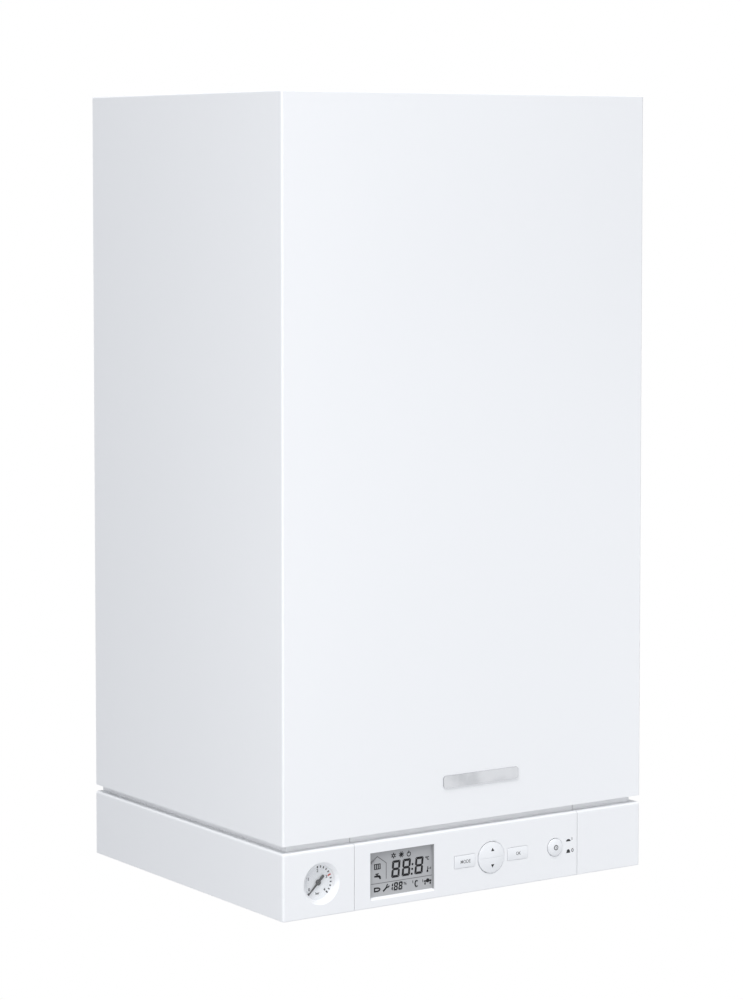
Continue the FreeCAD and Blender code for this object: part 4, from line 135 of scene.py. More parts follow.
# Sheet screws and pipe threads, in millimetres
SCREW_HEAD = (3.6, 3.0, 2.2)
SCREW_SHANK = (1.9, 1.2, 6.5)
SCREW_CROSS = (4.2, 0.9, 1.3)
SCREW_LAP = 0.2
HEAD_SIDES = 28
SHANK_SIDES = 16
WING_SCREW = (187.5, (-69.0, -278.0), -661.0)
LID_SCREW = (169.0, -319.2, (-413.5, -191.0, 31.5))
SHELF_SCREW = (32.5, -9.7, -640.5)
STUB_LEVEL = (-681.0, -663.0)
STUB_DEPTH = -60.0
WIDE_STUBS = (13.22, (-130.0, 0.0, 130.0))
NARROW_STUBS = (10.48, (-65.0, 65.0))
THREAD_PITCH = 1.814
THREAD_RIDGE = 0.55
THREAD_BURIED = 0.45
HELIX_STEPS = 40
RIDGE_SIDES = 4

# Studio, in metres, degrees and watts
AMBIENT = 0.40
AMBIENT_TINT = (0.955, 1.0, 1.08, 1.0)
FULL_WHITE = (1.0, 1.0, 1.0, 1.0)
FLOOR_LEVEL = -2.185
FLOOR_RADIUS = 60.0
FLOOR_SIDES = 96
FLOOR_FADE = (0.7, 2.4)
FLOOR_LIFT = 0.45
LAMP_AIM = (0.0, -0.17, -0.32)
SOFT_BOXES = {
    "top_box": ((-0.800, -1.340, 2.278), 1.6, 66.0),
    "left_box": ((-1.130, -1.110, -0.480), 0.9, 6.2),
    "right_box": ((0.604, -0.890, -0.662), 0.9, 1.6),
}
CAMERA_SPOT = (-1.6266, -2.5750, -0.0268)
CAMERA_TURN = (90.0 - 3.596, 0.0, -34.218)
LENS_LENGTH = 110.77
LENS_SENSOR = 36.0
LENS_SHIFT = -0.139
LENS_REACH = 200.0


# Shader and geometry node wiring


class Wire:
    """One output of a node tree, so that sums on values read as plain expressions."""

    def __init__(self, tree, socket=None):
        self.tree = tree
        self.socket = socket

    def node(self, kind, settings=None, sockets=None, out=0):
        """Any node: its settings first, then the values or links of its sockets."""
        made = self.tree.nodes.new(kind)
        for name, value in (settings or {}).items():
            setattr(made, name, value)
        for name, value in (sockets or {}).items():
            for one in value if isinstance(value, list) else [value]:
                if isinstance(one, Wire):
                    self.tree.links.new(one.socket, made.inputs[name])
                else:
                    made.inputs[name].default_value = one
        return Wire(self.tree, made.outputs[out] if len(made.outputs) else None)

    def __getitem__(self, name):
        """Another output of the same node."""
        return Wire(self.tree, self.socket.node.outputs[name])

    def sum_node(self, operation, first, second):
        """One sum on two values."""
        return self.node("ShaderNodeMath", {"operation": operation}, {0: first, 1: second})

    def __add__(self, other):
        return self.sum_node("ADD", self, other)

    def __radd__(self, other):
        return self.sum_node("ADD", other, self)

    def __sub__(self, other):
        return self.sum_node("SUBTRACT", self, other)

    def __rsub__(self, other):
        return self.sum_node("SUBTRACT", other, self)

    def __mul__(self, other):
        return self.sum_node("MULTIPLY", self, other)

    def __rmul__(self, other):
        return self.sum_node("MULTIPLY", other, self)

    def __gt__(self, other):
        return self.sum_node("GREATER_THAN", self, other)

    def __lt__(self, other):
        return self.sum_node("LESS_THAN", self, other)

    def between(self, low, high):
        """0 at the low value, 1 at the high one, with soft ends."""
        settings = {"interpolation_type": "SMOOTHSTEP"}
        return self.node("ShaderNodeMapRange", settings, {0: self, 1: low, 2: high})

    def tint(self, dark, light):
        """A colour between two, by this value."""
        return self.node("ShaderNodeMix", {"data_type": "RGBA"}, {0: self, 6: dark, 7: light}, 2)

    def relief(self, depth):
        """A bump of this height in millimetres."""
        return self.node("ShaderNodeBump", {}, {"Height": self, "Distance": depth * MM})

    def stretch(self, x, y, z):
        """These coordinates, scaled along each axis."""
        return self.node("ShaderNodeMapping", {}, {"Vector": self, "Scale": (x, y, z)})

    def cloud(self, scale, detail=2.0, rough=0.5):
        """Soft noise from 0 to 1 on these coordinates, with so many cells to the metre."""
        sockets = {"Vector": self, "Scale": scale, "Detail": detail, "Roughness": rough}
        return self.node("ShaderNodeTexNoise", {}, sockets)


# Finishes, with the size and depth of their grain in millimetres


def shade(colour, times=1.0):
    """A colour with its alpha, made darker or lighter."""
    return (*(part * times for part in colour), 1.0)


def new_finish(name):
    """A bare material and its Object coordinates."""
    material = bpy.data.materials.new(name)
    material.use_nodes = True
    material.node_tree.nodes.clear()
    place = Wire(material.node_tree).node("ShaderNodeTexCoord")["Object"]
    return material, place


def surface(place, sockets):
    """The shader that ends a finish."""
    shader = place.node("ShaderNodeBsdfPrincipled", {}, sockets)
    place.node("ShaderNodeOutputMaterial", {}, {"Surface": shader})


def lacquer(name, colour, rough, peel, drift):
    """Sprayed paint or enamel: a faint drift of shade and an orange-peel skin."""
    material, place = new_finish(name)
    size, depth = peel
    broad = place.cloud(5.0, 3.0)
    skin = place.cloud(1.0 / (size * MM), 1.5)
    surface(place, {
        "Base Color": broad.tint(shade(colour, drift), shade(colour)),
        "Roughness": rough + 0.08 * (place.cloud(40.0) - 0.5),
        "Normal": skin.relief(depth),
    })
    return material


def moulding(name, colour, rough, grain, drift, gloss=0.5):
    """Moulded plastic: a fine spark-eroded grain and faint flow marks."""
    material, place = new_finish(name)
    size, depth = grain
    flow = place.stretch(1.0, 1.0, 3.0).cloud(9.0, 4.0)
    sparks = place.cloud(1.0 / (size * MM), 2.0, 0.6)
    surface(place, {
        "Base Color": flow.tint(shade(colour, drift), shade(colour)),
        "Roughness": rough + 0.14 * (sparks - 0.5),
        "Specular IOR Level": gloss,
        "Normal": sparks.relief(depth),
    })
    return material


def worked_metal(name, colour, stain, rough, patch, lines, depth, cover=(0.45, 0.75)):
    """Bare metal with stains in soft patches, and marks of its making, so many to the metre each way."""
    material, place = new_finish(name)
    stained = place.cloud(1.0 / (patch * MM), 5.0, 0.6).between(*cover)
    marks = place.stretch(*lines).cloud(1.0, 3.0)
    surface(place, {
        "Base Color": stained.tint(shade(colour), shade(stain)),
        "Metallic": 1.0,
        "Roughness": rough + 0.12 * stained + 0.16 * (marks - 0.5),
        "Normal": marks.relief(depth),
    })
    return material


def zinc_coat(name):
    """Hot-dip galvanised sheet: crystals that each catch the light in their own way."""
    material, place = new_finish(name)
    warped = place.node("ShaderNodeVectorMath", {"operation": "MULTIPLY_ADD"},
                        {0: place.cloud(60.0)["Color"], 1: (0.006,) * 3, 2: place})
    crystal = place.node("ShaderNodeTexVoronoi", {}, {"Vector": warped, "Scale": 85.0}, "Color")
    split = crystal.node("ShaderNodeSeparateColor", {}, {"Color": crystal})
    frost = place.stretch(900.0, 900.0, 260.0).cloud(1.0, 3.0)
    surface(place, {
        "Base Color": split["Red"].tint(shade((0.61, 0.63, 0.65)), shade((0.71, 0.725, 0.74))),
        "Metallic": 0.92,
        "Roughness": 0.36 + 0.16 * split["Green"] + 0.10 * (frost - 0.5),
        "Normal": frost.relief(0.01),
    })
    return material


def rubber_skin(name):
    """Black rubber with a dusty bloom."""
    material, place = new_finish(name)
    bloom = place.cloud(55.0, 5.0, 0.65)
    skin = place.cloud(1500.0, 3.0)
    surface(place, {
        "Base Color": bloom.tint(shade((0.035, 0.035, 0.037)), shade((0.085, 0.084, 0.082))),
        "Roughness": 0.72 + 0.2 * (bloom - 0.5),
        "Normal": skin.relief(0.03),
    })
    return material


def fibre_felt(name):
    """Pressed ceramic fibre: pale matted strands."""
    material, place = new_finish(name)
    strands = place.stretch(1.0, 5.0, 2.4).cloud(320.0, 6.0, 0.7)
    clots = place.cloud(45.0, 4.0)
    surface(place, {
        "Base Color": (0.6 * strands + 0.4 * clots).tint(
            shade((0.74, 0.71, 0.64)), shade((0.93, 0.91, 0.86))),
        "Roughness": 0.86 + 0.1 * (clots - 0.5),
        "Normal": strands.relief(0.3),
    })
    return material


def glazed_ceramic(name):
    """Fired insulator body under a clear glaze, with small iron specks."""
    material, place = new_finish(name)
    specks = place.cloud(900.0, 1.0).between(0.70, 0.76)
    surface(place, {
        "Base Color": specks.tint(shade((0.90, 0.88, 0.84)), shade((0.62, 0.55, 0.46))),
        "Roughness": 0.34 + 0.1 * (place.cloud(120.0) - 0.5),
        "Coat Weight": 0.7 - 0.3 * specks,
        "Coat Roughness": 0.06,
    })
    return material


def lcd_face(name):
    """Reflective display glass: silver grey, with painted shade that darkens it towards its top where the
    window's rim shadows it, in a darker grey liner.
    """
    material, place = new_finish(name)
    spot = place.node("ShaderNodeSeparateXYZ", {}, {"Vector": place})
    foot = LCD_CORNER[1] * MM
    # Painted shade: a mask from 0 at the display's foot to 1 at its top, standing in for the shadow of the
    # window's rim
    painted_top_shade = spot["Z"].between(foot, foot + LCD_HIGH * MM)
    mottle = place.cloud(1400.0, 2.0)
    # The glass colour blends the painted shade towards the top with a random mottle
    glass = (0.75 * painted_top_shade + 0.25 * mottle).tint(shade((0.475, 0.480, 0.488)), shade((0.395, 0.400, 0.410)))
    behind = spot["Y"] > (LCD_PLANE - PRINT_PROUD) * MM
    surface(place, {
        "Base Color": behind.tint(shade((0.36, 0.365, 0.37)), glass),
        "Roughness": 0.30 + 0.1 * (mottle - 0.5),
        "Specular IOR Level": 0.35,
    })
    return material


def circuit_green(name):
    """Solder mask with copper tracks showing through as paler lines."""
    material, place = new_finish(name)
    cells = place.node("ShaderNodeTexVoronoi", {"distance": "CHEBYCHEV"},
                       {"Vector": place, "Scale": 70.0}, "Distance")
    steps = 9.0 * cells
    ladder = steps.node("ShaderNodeMath", {"operation": "FRACT"}, {0: steps})
    tracks = ladder.between(0.55, 0.62)
    surface(place, {
        "Base Color": tracks.tint(shade((0.045, 0.19, 0.10)), shade((0.10, 0.33, 0.17))),
        "Roughness": 0.34 + 0.12 * (place.cloud(300.0) - 0.5),
        "Normal": tracks.relief(0.04),
    })
    return material


def clear_lens(name):
    """Clear moulded cover of the gauge, faintly hazed."""
    material, place = new_finish(name)
    haze = place.cloud(160.0, 3.0)
    surface(place, {
        "Base Color": haze.tint(shade((0.93, 0.95, 0.96)), shade((0.97, 0.98, 0.99))),
        "Roughness": 0.06 + 0.05 * haze,
        "Alpha": 0.02 + 0.02 * haze,
    })
    return material


WHITE = (0.912, 0.918, 0.928)
INK_GRAIN = (0.4, 0.002)
FINISH = {
    "white_enamel": lacquer("enamel_white", WHITE, rough=0.36, peel=(1.4, 0.004), drift=0.99),
    "white_moulding": moulding("moulding_white", WHITE, rough=0.42, grain=(0.4, 0.004), drift=0.985),
    "key_grey": moulding("key_white", (0.890, 0.900, 0.915), rough=0.34, grain=(0.4, 0.003), drift=0.98),
    "badge_silver": worked_metal("badge_satin", (0.46, 0.47, 0.49), (0.40, 0.41, 0.43), rough=0.34,
                                 patch=30.0, lines=(40.0, 900.0, 2600.0), depth=0.004),
    "zinc_sheet": zinc_coat("zinc_spangle"),
    "zinc_screw": worked_metal("zinc_passivated", (0.72, 0.73, 0.75), (0.62, 0.60, 0.52), rough=0.30,
                               patch=8.0, lines=(1200.0, 1200.0, 1200.0), depth=0.01),
    "stainless": worked_metal("stainless_brushed", (0.60, 0.61, 0.62), (0.52, 0.51, 0.49), rough=0.28,
                              patch=60.0, lines=(30.0, 1500.0, 1500.0), depth=0.006, cover=(0.55, 0.9)),
    "brass": worked_metal("brass_cast", (0.78, 0.62, 0.32), (0.60, 0.44, 0.20), rough=0.30,
                          patch=18.0, lines=(900.0, 900.0, 900.0), depth=0.03),
    "copper": worked_metal("copper_tarnished", (0.76, 0.44, 0.32), (0.52, 0.27, 0.18), rough=0.26,
                           patch=35.0, lines=(260.0, 260.0, 90.0), depth=0.01),
    "gas_yellow": lacquer("gas_line_yellow", (0.80, 0.60, 0.10), rough=0.36, peel=(1.6, 0.03), drift=0.90),
    "cast_alloy": worked_metal("alloy_die_cast", (0.64, 0.65, 0.66), (0.50, 0.51, 0.52), rough=0.44,
                               patch=20.0, lines=(1300.0, 1300.0, 1300.0), depth=0.04),
    "vessel_paint": lacquer("vessel_red", (0.55, 0.075, 0.06), rough=0.34, peel=(1.8, 0.04), drift=0.88),
    "pump_paint": lacquer("pump_graphite", (0.14, 0.15, 0.16), rough=0.44, peel=(1.2, 0.05), drift=0.85),
    "black_plastic": moulding("plastic_black", (0.055, 0.056, 0.060), rough=0.46, grain=(0.6, 0.01),
                              drift=0.8),
    "red_knob": moulding("knob_red", (0.66, 0.045, 0.04), rough=0.36, grain=(0.5, 0.006), drift=0.9),
    "blue_knob": moulding("knob_blue", (0.06, 0.16, 0.46), rough=0.36, grain=(0.5, 0.006), drift=0.9),
    "rubber": rubber_skin("rubber_black"),
    "fibre_board": fibre_felt("ceramic_felt"),
    "ceramic": glazed_ceramic("insulator_glaze"),
    "lcd_glass": lcd_face("display_glass"),
    "board_green": circuit_green("circuit_mask"),
    "dial_white": moulding("dial_card", (0.86, 0.87, 0.885), rough=0.52, grain=(0.3, 0.003), drift=0.98),
    "needle_dark": moulding("needle_black", (0.050, 0.051, 0.054), rough=0.40, grain=(0.4, 0.004),
                            drift=0.85),
    "clear": clear_lens("lens_clear"),
}
LCD_INK = moulding("display_segments", (0.018, 0.018, 0.020), rough=0.45, grain=INK_GRAIN, drift=0.8,
                   gloss=0.12)
LCD_FAINT_INK = moulding("display_outline", (0.15, 0.15, 0.155), rough=0.45, grain=INK_GRAIN, drift=0.9)
DARK_INK = moulding("print_dark", (0.030, 0.030, 0.032), rough=0.55, grain=INK_GRAIN, drift=0.8, gloss=0.25)
GREY_INK = moulding("print_grey", (0.13, 0.132, 0.136), rough=0.55, grain=INK_GRAIN, drift=0.9)
RED_INK = moulding("print_red", (0.62, 0.085, 0.05), rough=0.50, grain=INK_GRAIN, drift=0.9)

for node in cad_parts.values():
    for slot in node.material_slots:
        slot.material = FINISH[slot.material.name]


# Flat marks


def turned(centre, radius, angle):
    """A point at a distance and an angle in degrees from a centre."""
    way = math.radians(angle)
    return centre[0] + radius * math.cos(way), centre[1] + radius * math.sin(way)


def oval(centre, across, up, start, end, steps):
    """Points along part of an ellipse."""
    turns = [math.radians(start + (end - start) * i / steps) for i in range(steps + 1)]
    return [(centre[0] + across * math.cos(turn), centre[1] + up * math.sin(turn)) for turn in turns]


def arc(centre, radius, start, end, steps=16):
    """Points along part of a circle."""
    return oval(centre, radius, radius, start, end, steps)


def circle(centre, radius, sides=24):
    """Points round a whole circle."""
    return arc(centre, radius, 0.0, 360.0, sides)[:-1]


def beside(points, shift, closed):
    """A line's points moved sideways, with mitred corners."""
    line = [Vector(point) for point in points]
    count = len(line)
    moved = []
    for i, point in enumerate(line):
        runs = []
        if i or closed:
            runs.append((point - line[i - 1]).normalized())
        if i + 1 < count or closed:
            runs.append((line[(i + 1) % count] - point).normalized())
        across = [Vector((-run.y, run.x)) for run in runs]
        mitre = sum(across, Vector((0.0, 0.0))).normalized()
        moved.append(point + mitre * (shift / max(mitre.dot(across[0]), MITRE_LEAST)))
    return [tuple(point) for point in moved]


def stroke(points, width):
    """Outline of an open line of one width."""
    half = width / 2
    return [beside(points, half, False) + beside(points, -half, False)[::-1]]


def outline(points, width):
    """The two edges of a closed line of one width."""
    half = width / 2
    return [beside(points, half, True), beside(points, -half, True)]


def lit_segments(across, shown, level, size, lean, thick, gap):
    """The leaning bars of one seven-segment figure, as outlines with mitred ends."""
    wide, high = size
    half, middle = thick / 2, high / 2
    left, right, low, top = half, wide - half, half, high - half
    bars = {
        "a": ((left, top), (right, top), (1, 1)), "g": ((left, middle), (right, middle), (0, 0)),
        "d": ((right, low), (left, low), (1, 1)), "f": ((left, middle), (left, top), (0, 1)),
        "e": ((left, low), (left, middle), (1, 0)), "b": ((right, top), (right, middle), (1, 0)),
        "c": ((right, middle), (right, low), (0, 1)),
    }
    marks = []
    for name in shown:
        start, finish, cornered = bars[name]
        start, finish = Vector(start), Vector(finish)
        run = (finish - start).normalized()
        out = Vector((-run.y, run.x)) * half
        spread = [half * SEGMENT_MITRE if at_corner else -half for at_corner in cornered]
        points = [start + run * gap, start + run * (gap - spread[0]) + out,
                  finish - run * (gap - spread[1]) + out, finish - run * gap,
                  finish - run * (gap + half) - out, start + run * (gap + half) - out]
        marks.append([[(across + p.x + lean * p.y / high, level + p.y) for p in points]])
    return marks


class Print:
    """Thin marks gathered in millimetres and then laid on the front of what carries them."""

    def __init__(self, corner):
        self.corner = corner
        self.mesh = bmesh.new()

    def corner_pair(self, point):
        """The front and back corners of a mark at one point."""
        x, z = self.corner[0] + point[0], self.corner[1] + point[1]
        return [self.mesh.verts.new((x * MM, side, z * MM)) for side in (FRONT, BACK)]

    def mark(self, *shapes):
        """Adds marks, each one an outline, or an outer and an inner one."""
        for shape in shapes:
            edges = [[self.corner_pair(point) for point in edge] for edge in shape]
            for edge in edges:
                for i, (front, back) in enumerate(edge):
                    self.mesh.faces.new((edge[i - 1][0], front, back, edge[i - 1][1]))
            if len(edges) == 1:
                for side in (0, 1):
                    self.mesh.faces.new([pair[side] for pair in edges[0]])
            else:
                outer, inner = edges
                for i in range(len(outer)):
                    for side in (0, 1):
                        self.mesh.faces.new((outer[i - 1][side], outer[i][side],
                                             inner[i][side], inner[i - 1][side]))

    def word(self, text, centre, high, weight, wide=None):
        """Adds lettering of one height, and of one width where it is given."""
        letters = bpy.data.curves.new(text, "FONT")
        letters.body = text
        letters.extrude = LETTER_DEPTH
        letters.resolution_u = LETTER_STEPS
        letters.offset = weight
        body = bpy.data.objects.new(text, letters)
        bpy.context.collection.objects.link(body)
        flat = bpy.data.meshes.new_from_object(
            body.evaluated_get(bpy.context.evaluated_depsgraph_get()))
        bpy.data.objects.remove(body)
        bpy.data.curves.remove(letters)
        low = Vector([min(v.co[i] for v in flat.vertices) for i in range(3)])
        top = Vector([max(v.co[i] for v in flat.vertices) for i in range(3)])
        tall = high / (top.y - low.y)
        broad = wide / (top.x - low.x) if wide else tall
        middle = (low + top) / 2
        for vertex in flat.vertices:
            x = self.corner[0] + centre[0] + (vertex.co.x - middle.x) * broad
            z = self.corner[1] + centre[1] + (vertex.co.y - middle.y) * tall
            vertex.co = (x * MM, FRONT if vertex.co.z > middle.z else BACK, z * MM)
        self.mesh.from_mesh(flat)
        bpy.data.meshes.remove(flat)

    def lay(self, name, carrier, body, ink):
        """Drapes the marks on a node's front and makes them a piece that rides on a body."""
        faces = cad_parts[carrier].data
        skin = BVHTree.FromPolygons([v.co for v in faces.vertices],
                                    [p.vertices for p in faces.polygons])
        for vertex in self.mesh.verts:
            x, side, z = vertex.co
            hit = skin.ray_cast(Vector((x, LAY_FROM * MM, z)), Vector((0.0, 1.0, 0.0)))[0]
            vertex.co.y = hit.y + (PRINT_SUNK if side == BACK else -PRINT_PROUD) * MM
        bmesh.ops.remove_doubles(self.mesh, verts=self.mesh.verts, dist=MERGE_REACH * MM)
        bmesh.ops.recalc_face_normals(self.mesh, faces=self.mesh.faces)
        made = bpy.data.meshes.new(name)
        self.mesh.to_mesh(made)
        self.mesh.free()
        made.materials.append(ink)
        place_piece(name, made, body)


def place_piece(name, mesh, body):
    """A finished mesh as a piece that rides on a body."""
    piece = bpy.data.objects.new(name, mesh)
    bpy.context.collection.objects.link(piece)
    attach(piece, body)
    return piece


# Display, its signs drawn in millimetres from its lower left corner


def tap_sign():
    """Water tap with its handle."""
    return [[TAP_BODY], stroke(TAP_HANDLE, 0.9)]


def radiator_sign():
    """Radiator: upright columns between two rails."""
    columns = [stroke([(x, 23.7), (x, 28.9)], 1.05) for x in RADIATOR_COLUMNS]
    rails = [stroke([(3.85, level), (10.9, level)], 0.75) for level in RADIATOR_RAILS]
    return columns + rails


def snow_sign():
    """Snowflake: six arms round a ring."""
    arms = [stroke([turned(SNOW_CENTRE, 2.6, turn), turned(SNOW_CENTRE, 0.9, turn)], 1.1)
            for turn in range(30, 390, 60)]
    return arms + [outline(circle(SNOW_CENTRE, 1.1, 12), 0.7)]


def sun_sign():
    """Sun: a full disc with eight rays."""
    rays = [stroke([turned(SUN_CENTRE, 1.8, turn), turned(SUN_CENTRE, 2.8, turn)], 0.9)
            for turn in range(22, 382, 45)]
    return [[circle(SUN_CENTRE, 1.7)]] + rays


def timer_sign():
    """Timer: a ring with a stem at its top."""
    stem = [beyond(TIMER_CENTRE, 0.0, 0.5), beyond(TIMER_CENTRE, 0.0, 3.1)]
    return [outline(circle(TIMER_CENTRE, 1.9), 0.75), stroke(stem, 0.8)]


def celsius_sign():
    """Degree ring and letter."""
    return [outline(circle((60.5, 28.2), 0.6, 12), 0.5), stroke(arc((62.9, 27.2), 1.25, 50, 310), 0.8)]


def thermometer_sign():
    """Thermometer with a plus beside it."""
    return [stroke([(62.2, 15.9), (62.6, 19.6)], 0.95), [circle((62.1, 15.4), 1.05)],
            stroke([(63.1, 17.6), (66.0, 17.9)], 0.5), stroke([(65.5, 16.7), (65.7, 19.0)], 0.5)]


def burner_sign():
    """Burner tube with a rounded nose."""
    nose = oval((6.6, 5.5), 3.5, 1.5, 90, -90, 12)
    return [outline([(4.4, 7.0)] + nose + [(4.4, 4.0)], 1.35)]


def spanner_sign():
    """Open-ended spanner."""
    return [stroke([(13.7, 3.1), (18.0, 6.9)], 1.6), stroke(arc((18.9, 7.6), 1.25, 85, 365), 1.15)]


def percent_sign():
    """Two rings and a slanted line."""
    rings = [outline(circle(spot, 0.55, 12), 0.4) for spot in ((36.6, 8.1), (38.5, 6.6))]
    return rings + [stroke([(36.3, 6.2), (38.8, 8.6)], 0.4)]


def handset_sign():
    """Bent handset with its two ends, and a small figure 1 before it."""
    ends = [stroke([(50.3, 8.4), (51.2, 7.4)], 1.2), stroke([(50.3, 2.6), (51.2, 3.6)], 1.2)]
    return [stroke(arc((52.4, 5.5), 3.9, 128, 232), 1.3), stroke([(45.8, 8.9), (46.2, 6.3)], 0.7)] + ends


def valve_sign():
    """Valve with an arm and a leg on each side, and a small figure 1 before it."""
    arms = [stroke([(58.3, 6.5), (60.9, 6.5)], 1.5), stroke([(63.9, 6.5), (66.4, 6.5)], 1.5)]
    legs = [stroke([(x, 5.3), (x, 3.3)], 1.4) for x in (59.5, 65.2)]
    return arms + legs + [[circle((62.4, 6.8), 1.95, 8)], stroke([(56.8, 8.4), (57.1, 5.8)], 0.7)]


SIGNS = (tap_sign, radiator_sign, snow_sign, sun_sign, timer_sign, celsius_sign, thermometer_sign,
         burner_sign, spanner_sign, percent_sign, handset_sign, valve_sign)


def display_marks():
    """The symbols and figures that the display shows in its self test."""
    dark = Print(LCD_CORNER)
    for figures, form in ((BIG_FIGURES, BIG_FIGURE), (SMALL_FIGURES, SMALL_FIGURE)):
        for across, shown in figures:
            dark.mark(*lit_segments(across, shown, **form))
    for dot in COLON:
        dark.mark([circle(dot, COLON_RADIUS)])
    for sign in SIGNS:
        dark.mark(*sign())
    dark.lay("display_figures", "lcd_module", "panel", LCD_INK)
    faint = Print(LCD_CORNER)
    faint.mark(stroke(HOUSE_ROOF, 0.75), stroke(RULE, 0.6))
    faint.lay("display_outlines", "lcd_module", "panel", LCD_FAINT_INK)


# Keys


def key_marks():
    """Words and signs printed on the keys and beside the power button."""
    mode = Print(MODE_CENTRE)
    mode.word("MODE", WORD_PLACE, WORD_HIGH, WORD_WEIGHT, MODE_WIDE)
    mode.lay("mode_word", "mode_button", "mode_key", GREY_INK)
    agree = Print(OK_CENTRE)
    agree.word("OK", WORD_PLACE, WORD_HIGH, WORD_WEIGHT, OK_WIDE)
    agree.lay("ok_word", "ok_button", "ok_key", GREY_INK)
    arrows = Print(ROCKER_CENTRE)
    left, tip, right = ARROW_SPAN
    for way, level in ARROW_LEVELS:
        foot = level - ARROW_HALF * way
        arrows.mark([[(left, foot), (right, foot), (tip, level + ARROW_HALF * way)]])
    arrows.lay("rocker_arrows", "rocker_button", "rocker", DARK_INK)
    power = Print(POWER_CENTRE)
    power.mark(outline(circle((0.0, 0.0), 2.05), 0.95), stroke([(0.0, -0.95), (0.0, 0.95)], 0.75))
    power.lay("power_sign", "power_button", "power_key", GREY_INK)
    domes = Print(SWITCH_MARKS)
    domes.mark([[(-2.6, 3.7)] + arc((0.0, 2.9), 2.9, 155, 25, 10) + [(2.6, 3.7)]])
    domes.mark([[(-2.6, -7.2), (2.6, -7.2), (1.9, -6.2)] + arc((0.0, -5.7), 1.9, 0, 180, 10)
                + [(-1.9, -6.2)]])
    domes.lay("switch_domes", "control_panel", "panel", DARK_INK)
    figures = Print(SWITCH_MARKS)
    figures.mark(stroke([(4.3, 4.2), (4.3, 7.0)], 0.7))
    figures.mark(outline(oval((4.9, -5.2), 0.95, 1.4, 0, 360, 20)[:-1], 0.8))
    figures.lay("switch_figures", "control_panel", "panel", GREY_INK)


# Pressure gauge


def dial_angle(pressure):
    """Where a pressure stands on the scale."""
    return DIAL_ZERO - DIAL_STEP * pressure


def dial_numerals():
    """Figures and unit inside the scale."""
    figures = Print(GAUGE_CENTRE)
    for pressure in range(DIAL_TOP + 1):
        aside = 0.0 if pressure else ZERO_ASIDE
        centre = turned((0.0, 0.0), NUMERAL_REACH, dial_angle(pressure) - aside)
        figures.word(str(pressure), centre, NUMERAL_HIGH, NUMERAL_WEIGHT)
    figures.word("bar", UNIT_PLACE, UNIT_HIGH, NUMERAL_WEIGHT)
    figures.lay("dial_numerals", "gauge_dial", "boiler", DARK_INK)


# Geometry Nodes


class Growth:
    """A geometry node tree with named inputs that is run once and kept as a plain mesh."""

    def __init__(self, name, inputs):
        self.name = name
        self.inputs = inputs
        self.tree = bpy.data.node_groups.new(name, "GeometryNodeTree")
        face = self.tree.interface
        face.new_socket("Geometry", in_out="INPUT", socket_type="NodeSocketGeometry")
        for label, value in inputs.items():
            kind = "NodeSocketInt" if isinstance(value, int) else "NodeSocketFloat"
            face.new_socket(label, in_out="INPUT", socket_type=kind)
        face.new_socket("Geometry", in_out="OUTPUT", socket_type="NodeSocketGeometry")
        self.given = Wire(self.tree).node("NodeGroupInput")

    def seat(self, label):
        """One of the tree's inputs."""
        return self.given[label]

    def end(self, points, instance, rotation, finish):
        """Instances on points, realized, in one finish."""
        spread = points.node("GeometryNodeInstanceOnPoints", {},
                             {"Points": points, "Instance": instance, "Rotation": rotation})
        real = points.node("GeometryNodeRealizeInstances", {}, {"Geometry": spread})
        dressed = points.node("GeometryNodeSetMaterial", {}, {"Geometry": real, "Material": finish})
        points.node("NodeGroupOutput", {}, {"Geometry": dressed})

    def grow(self, body, seats=None):
        """Runs the tree on its points and places the result."""
        host = bpy.data.objects.new(self.name, seats or bpy.data.meshes.new(self.name))
        bpy.context.collection.objects.link(host)
        modifier = host.modifiers.new(self.name, "NODES")
        modifier.node_group = self.tree
        for item in self.tree.interface.items_tree:
            if item.in_out == "INPUT" and item.name in self.inputs:
                modifier[item.identifier] = self.inputs[item.name]
        made = bpy.data.meshes.new_from_object(
            host.evaluated_get(bpy.context.evaluated_depsgraph_get()))
        host.modifiers.remove(modifier)
        bpy.data.objects.remove(host)
        made.name = self.name
        return place_piece(self.name, made, body)


def dial_ticks(name, count, first, step, size, ink):
    """Scale marks along the edge of the dial."""
    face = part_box("gauge_dial")[0].y
    marks = Growth(name, {
        "Count": count, "First Angle": math.radians(first), "Step": math.radians(step),
        "Reach": (TICK_REACH - size[0] / 2) * MM, "Length": size[0] * MM, "Width": size[1] * MM,
        "Rise": (PRINT_PROUD + PRINT_SUNK) * MM, "Across": GAUGE_CENTRE[0] * MM,
        "Level": GAUGE_CENTRE[1] * MM, "Face": face,
    })
    at = marks.seat
    angle = at("First Angle") - at("Step") * at("Count").node("GeometryNodeInputIndex")
    cosine = angle.node("ShaderNodeMath", {"operation": "COSINE"}, {0: angle})
    sine = angle.node("ShaderNodeMath", {"operation": "SINE"}, {0: angle})
    spot = angle.node("ShaderNodeCombineXYZ", {}, {
        "X": at("Across") + at("Reach") * cosine, "Y": at("Face"),
        "Z": at("Level") + at("Reach") * sine})
    points = angle.node("GeometryNodePoints", {}, {"Count": at("Count"), "Position": spot})
    size_wire = angle.node("ShaderNodeCombineXYZ", {}, {
        "X": at("Length"), "Y": at("Rise"), "Z": at("Width")})
    tick = angle.node("GeometryNodeMeshCube", {}, {"Size": size_wire})
    turn = angle.node("ShaderNodeCombineXYZ", {}, {"Y": 0.0 - angle})
    marks.end(points, tick, turn, ink)
    marks.grow("boiler")


def seat_points(name, places):
    """A mesh of loose points, each with the way that its piece faces."""
    seats = bpy.data.meshes.new(name)
    seats.from_pydata([Vector(spot) * MM for spot, way in places], [], [])
    ways = seats.attributes.new("way", "FLOAT_VECTOR", "POINT")
    for i, (spot, way) in enumerate(places):
        ways.data[i].vector = way
    return seats


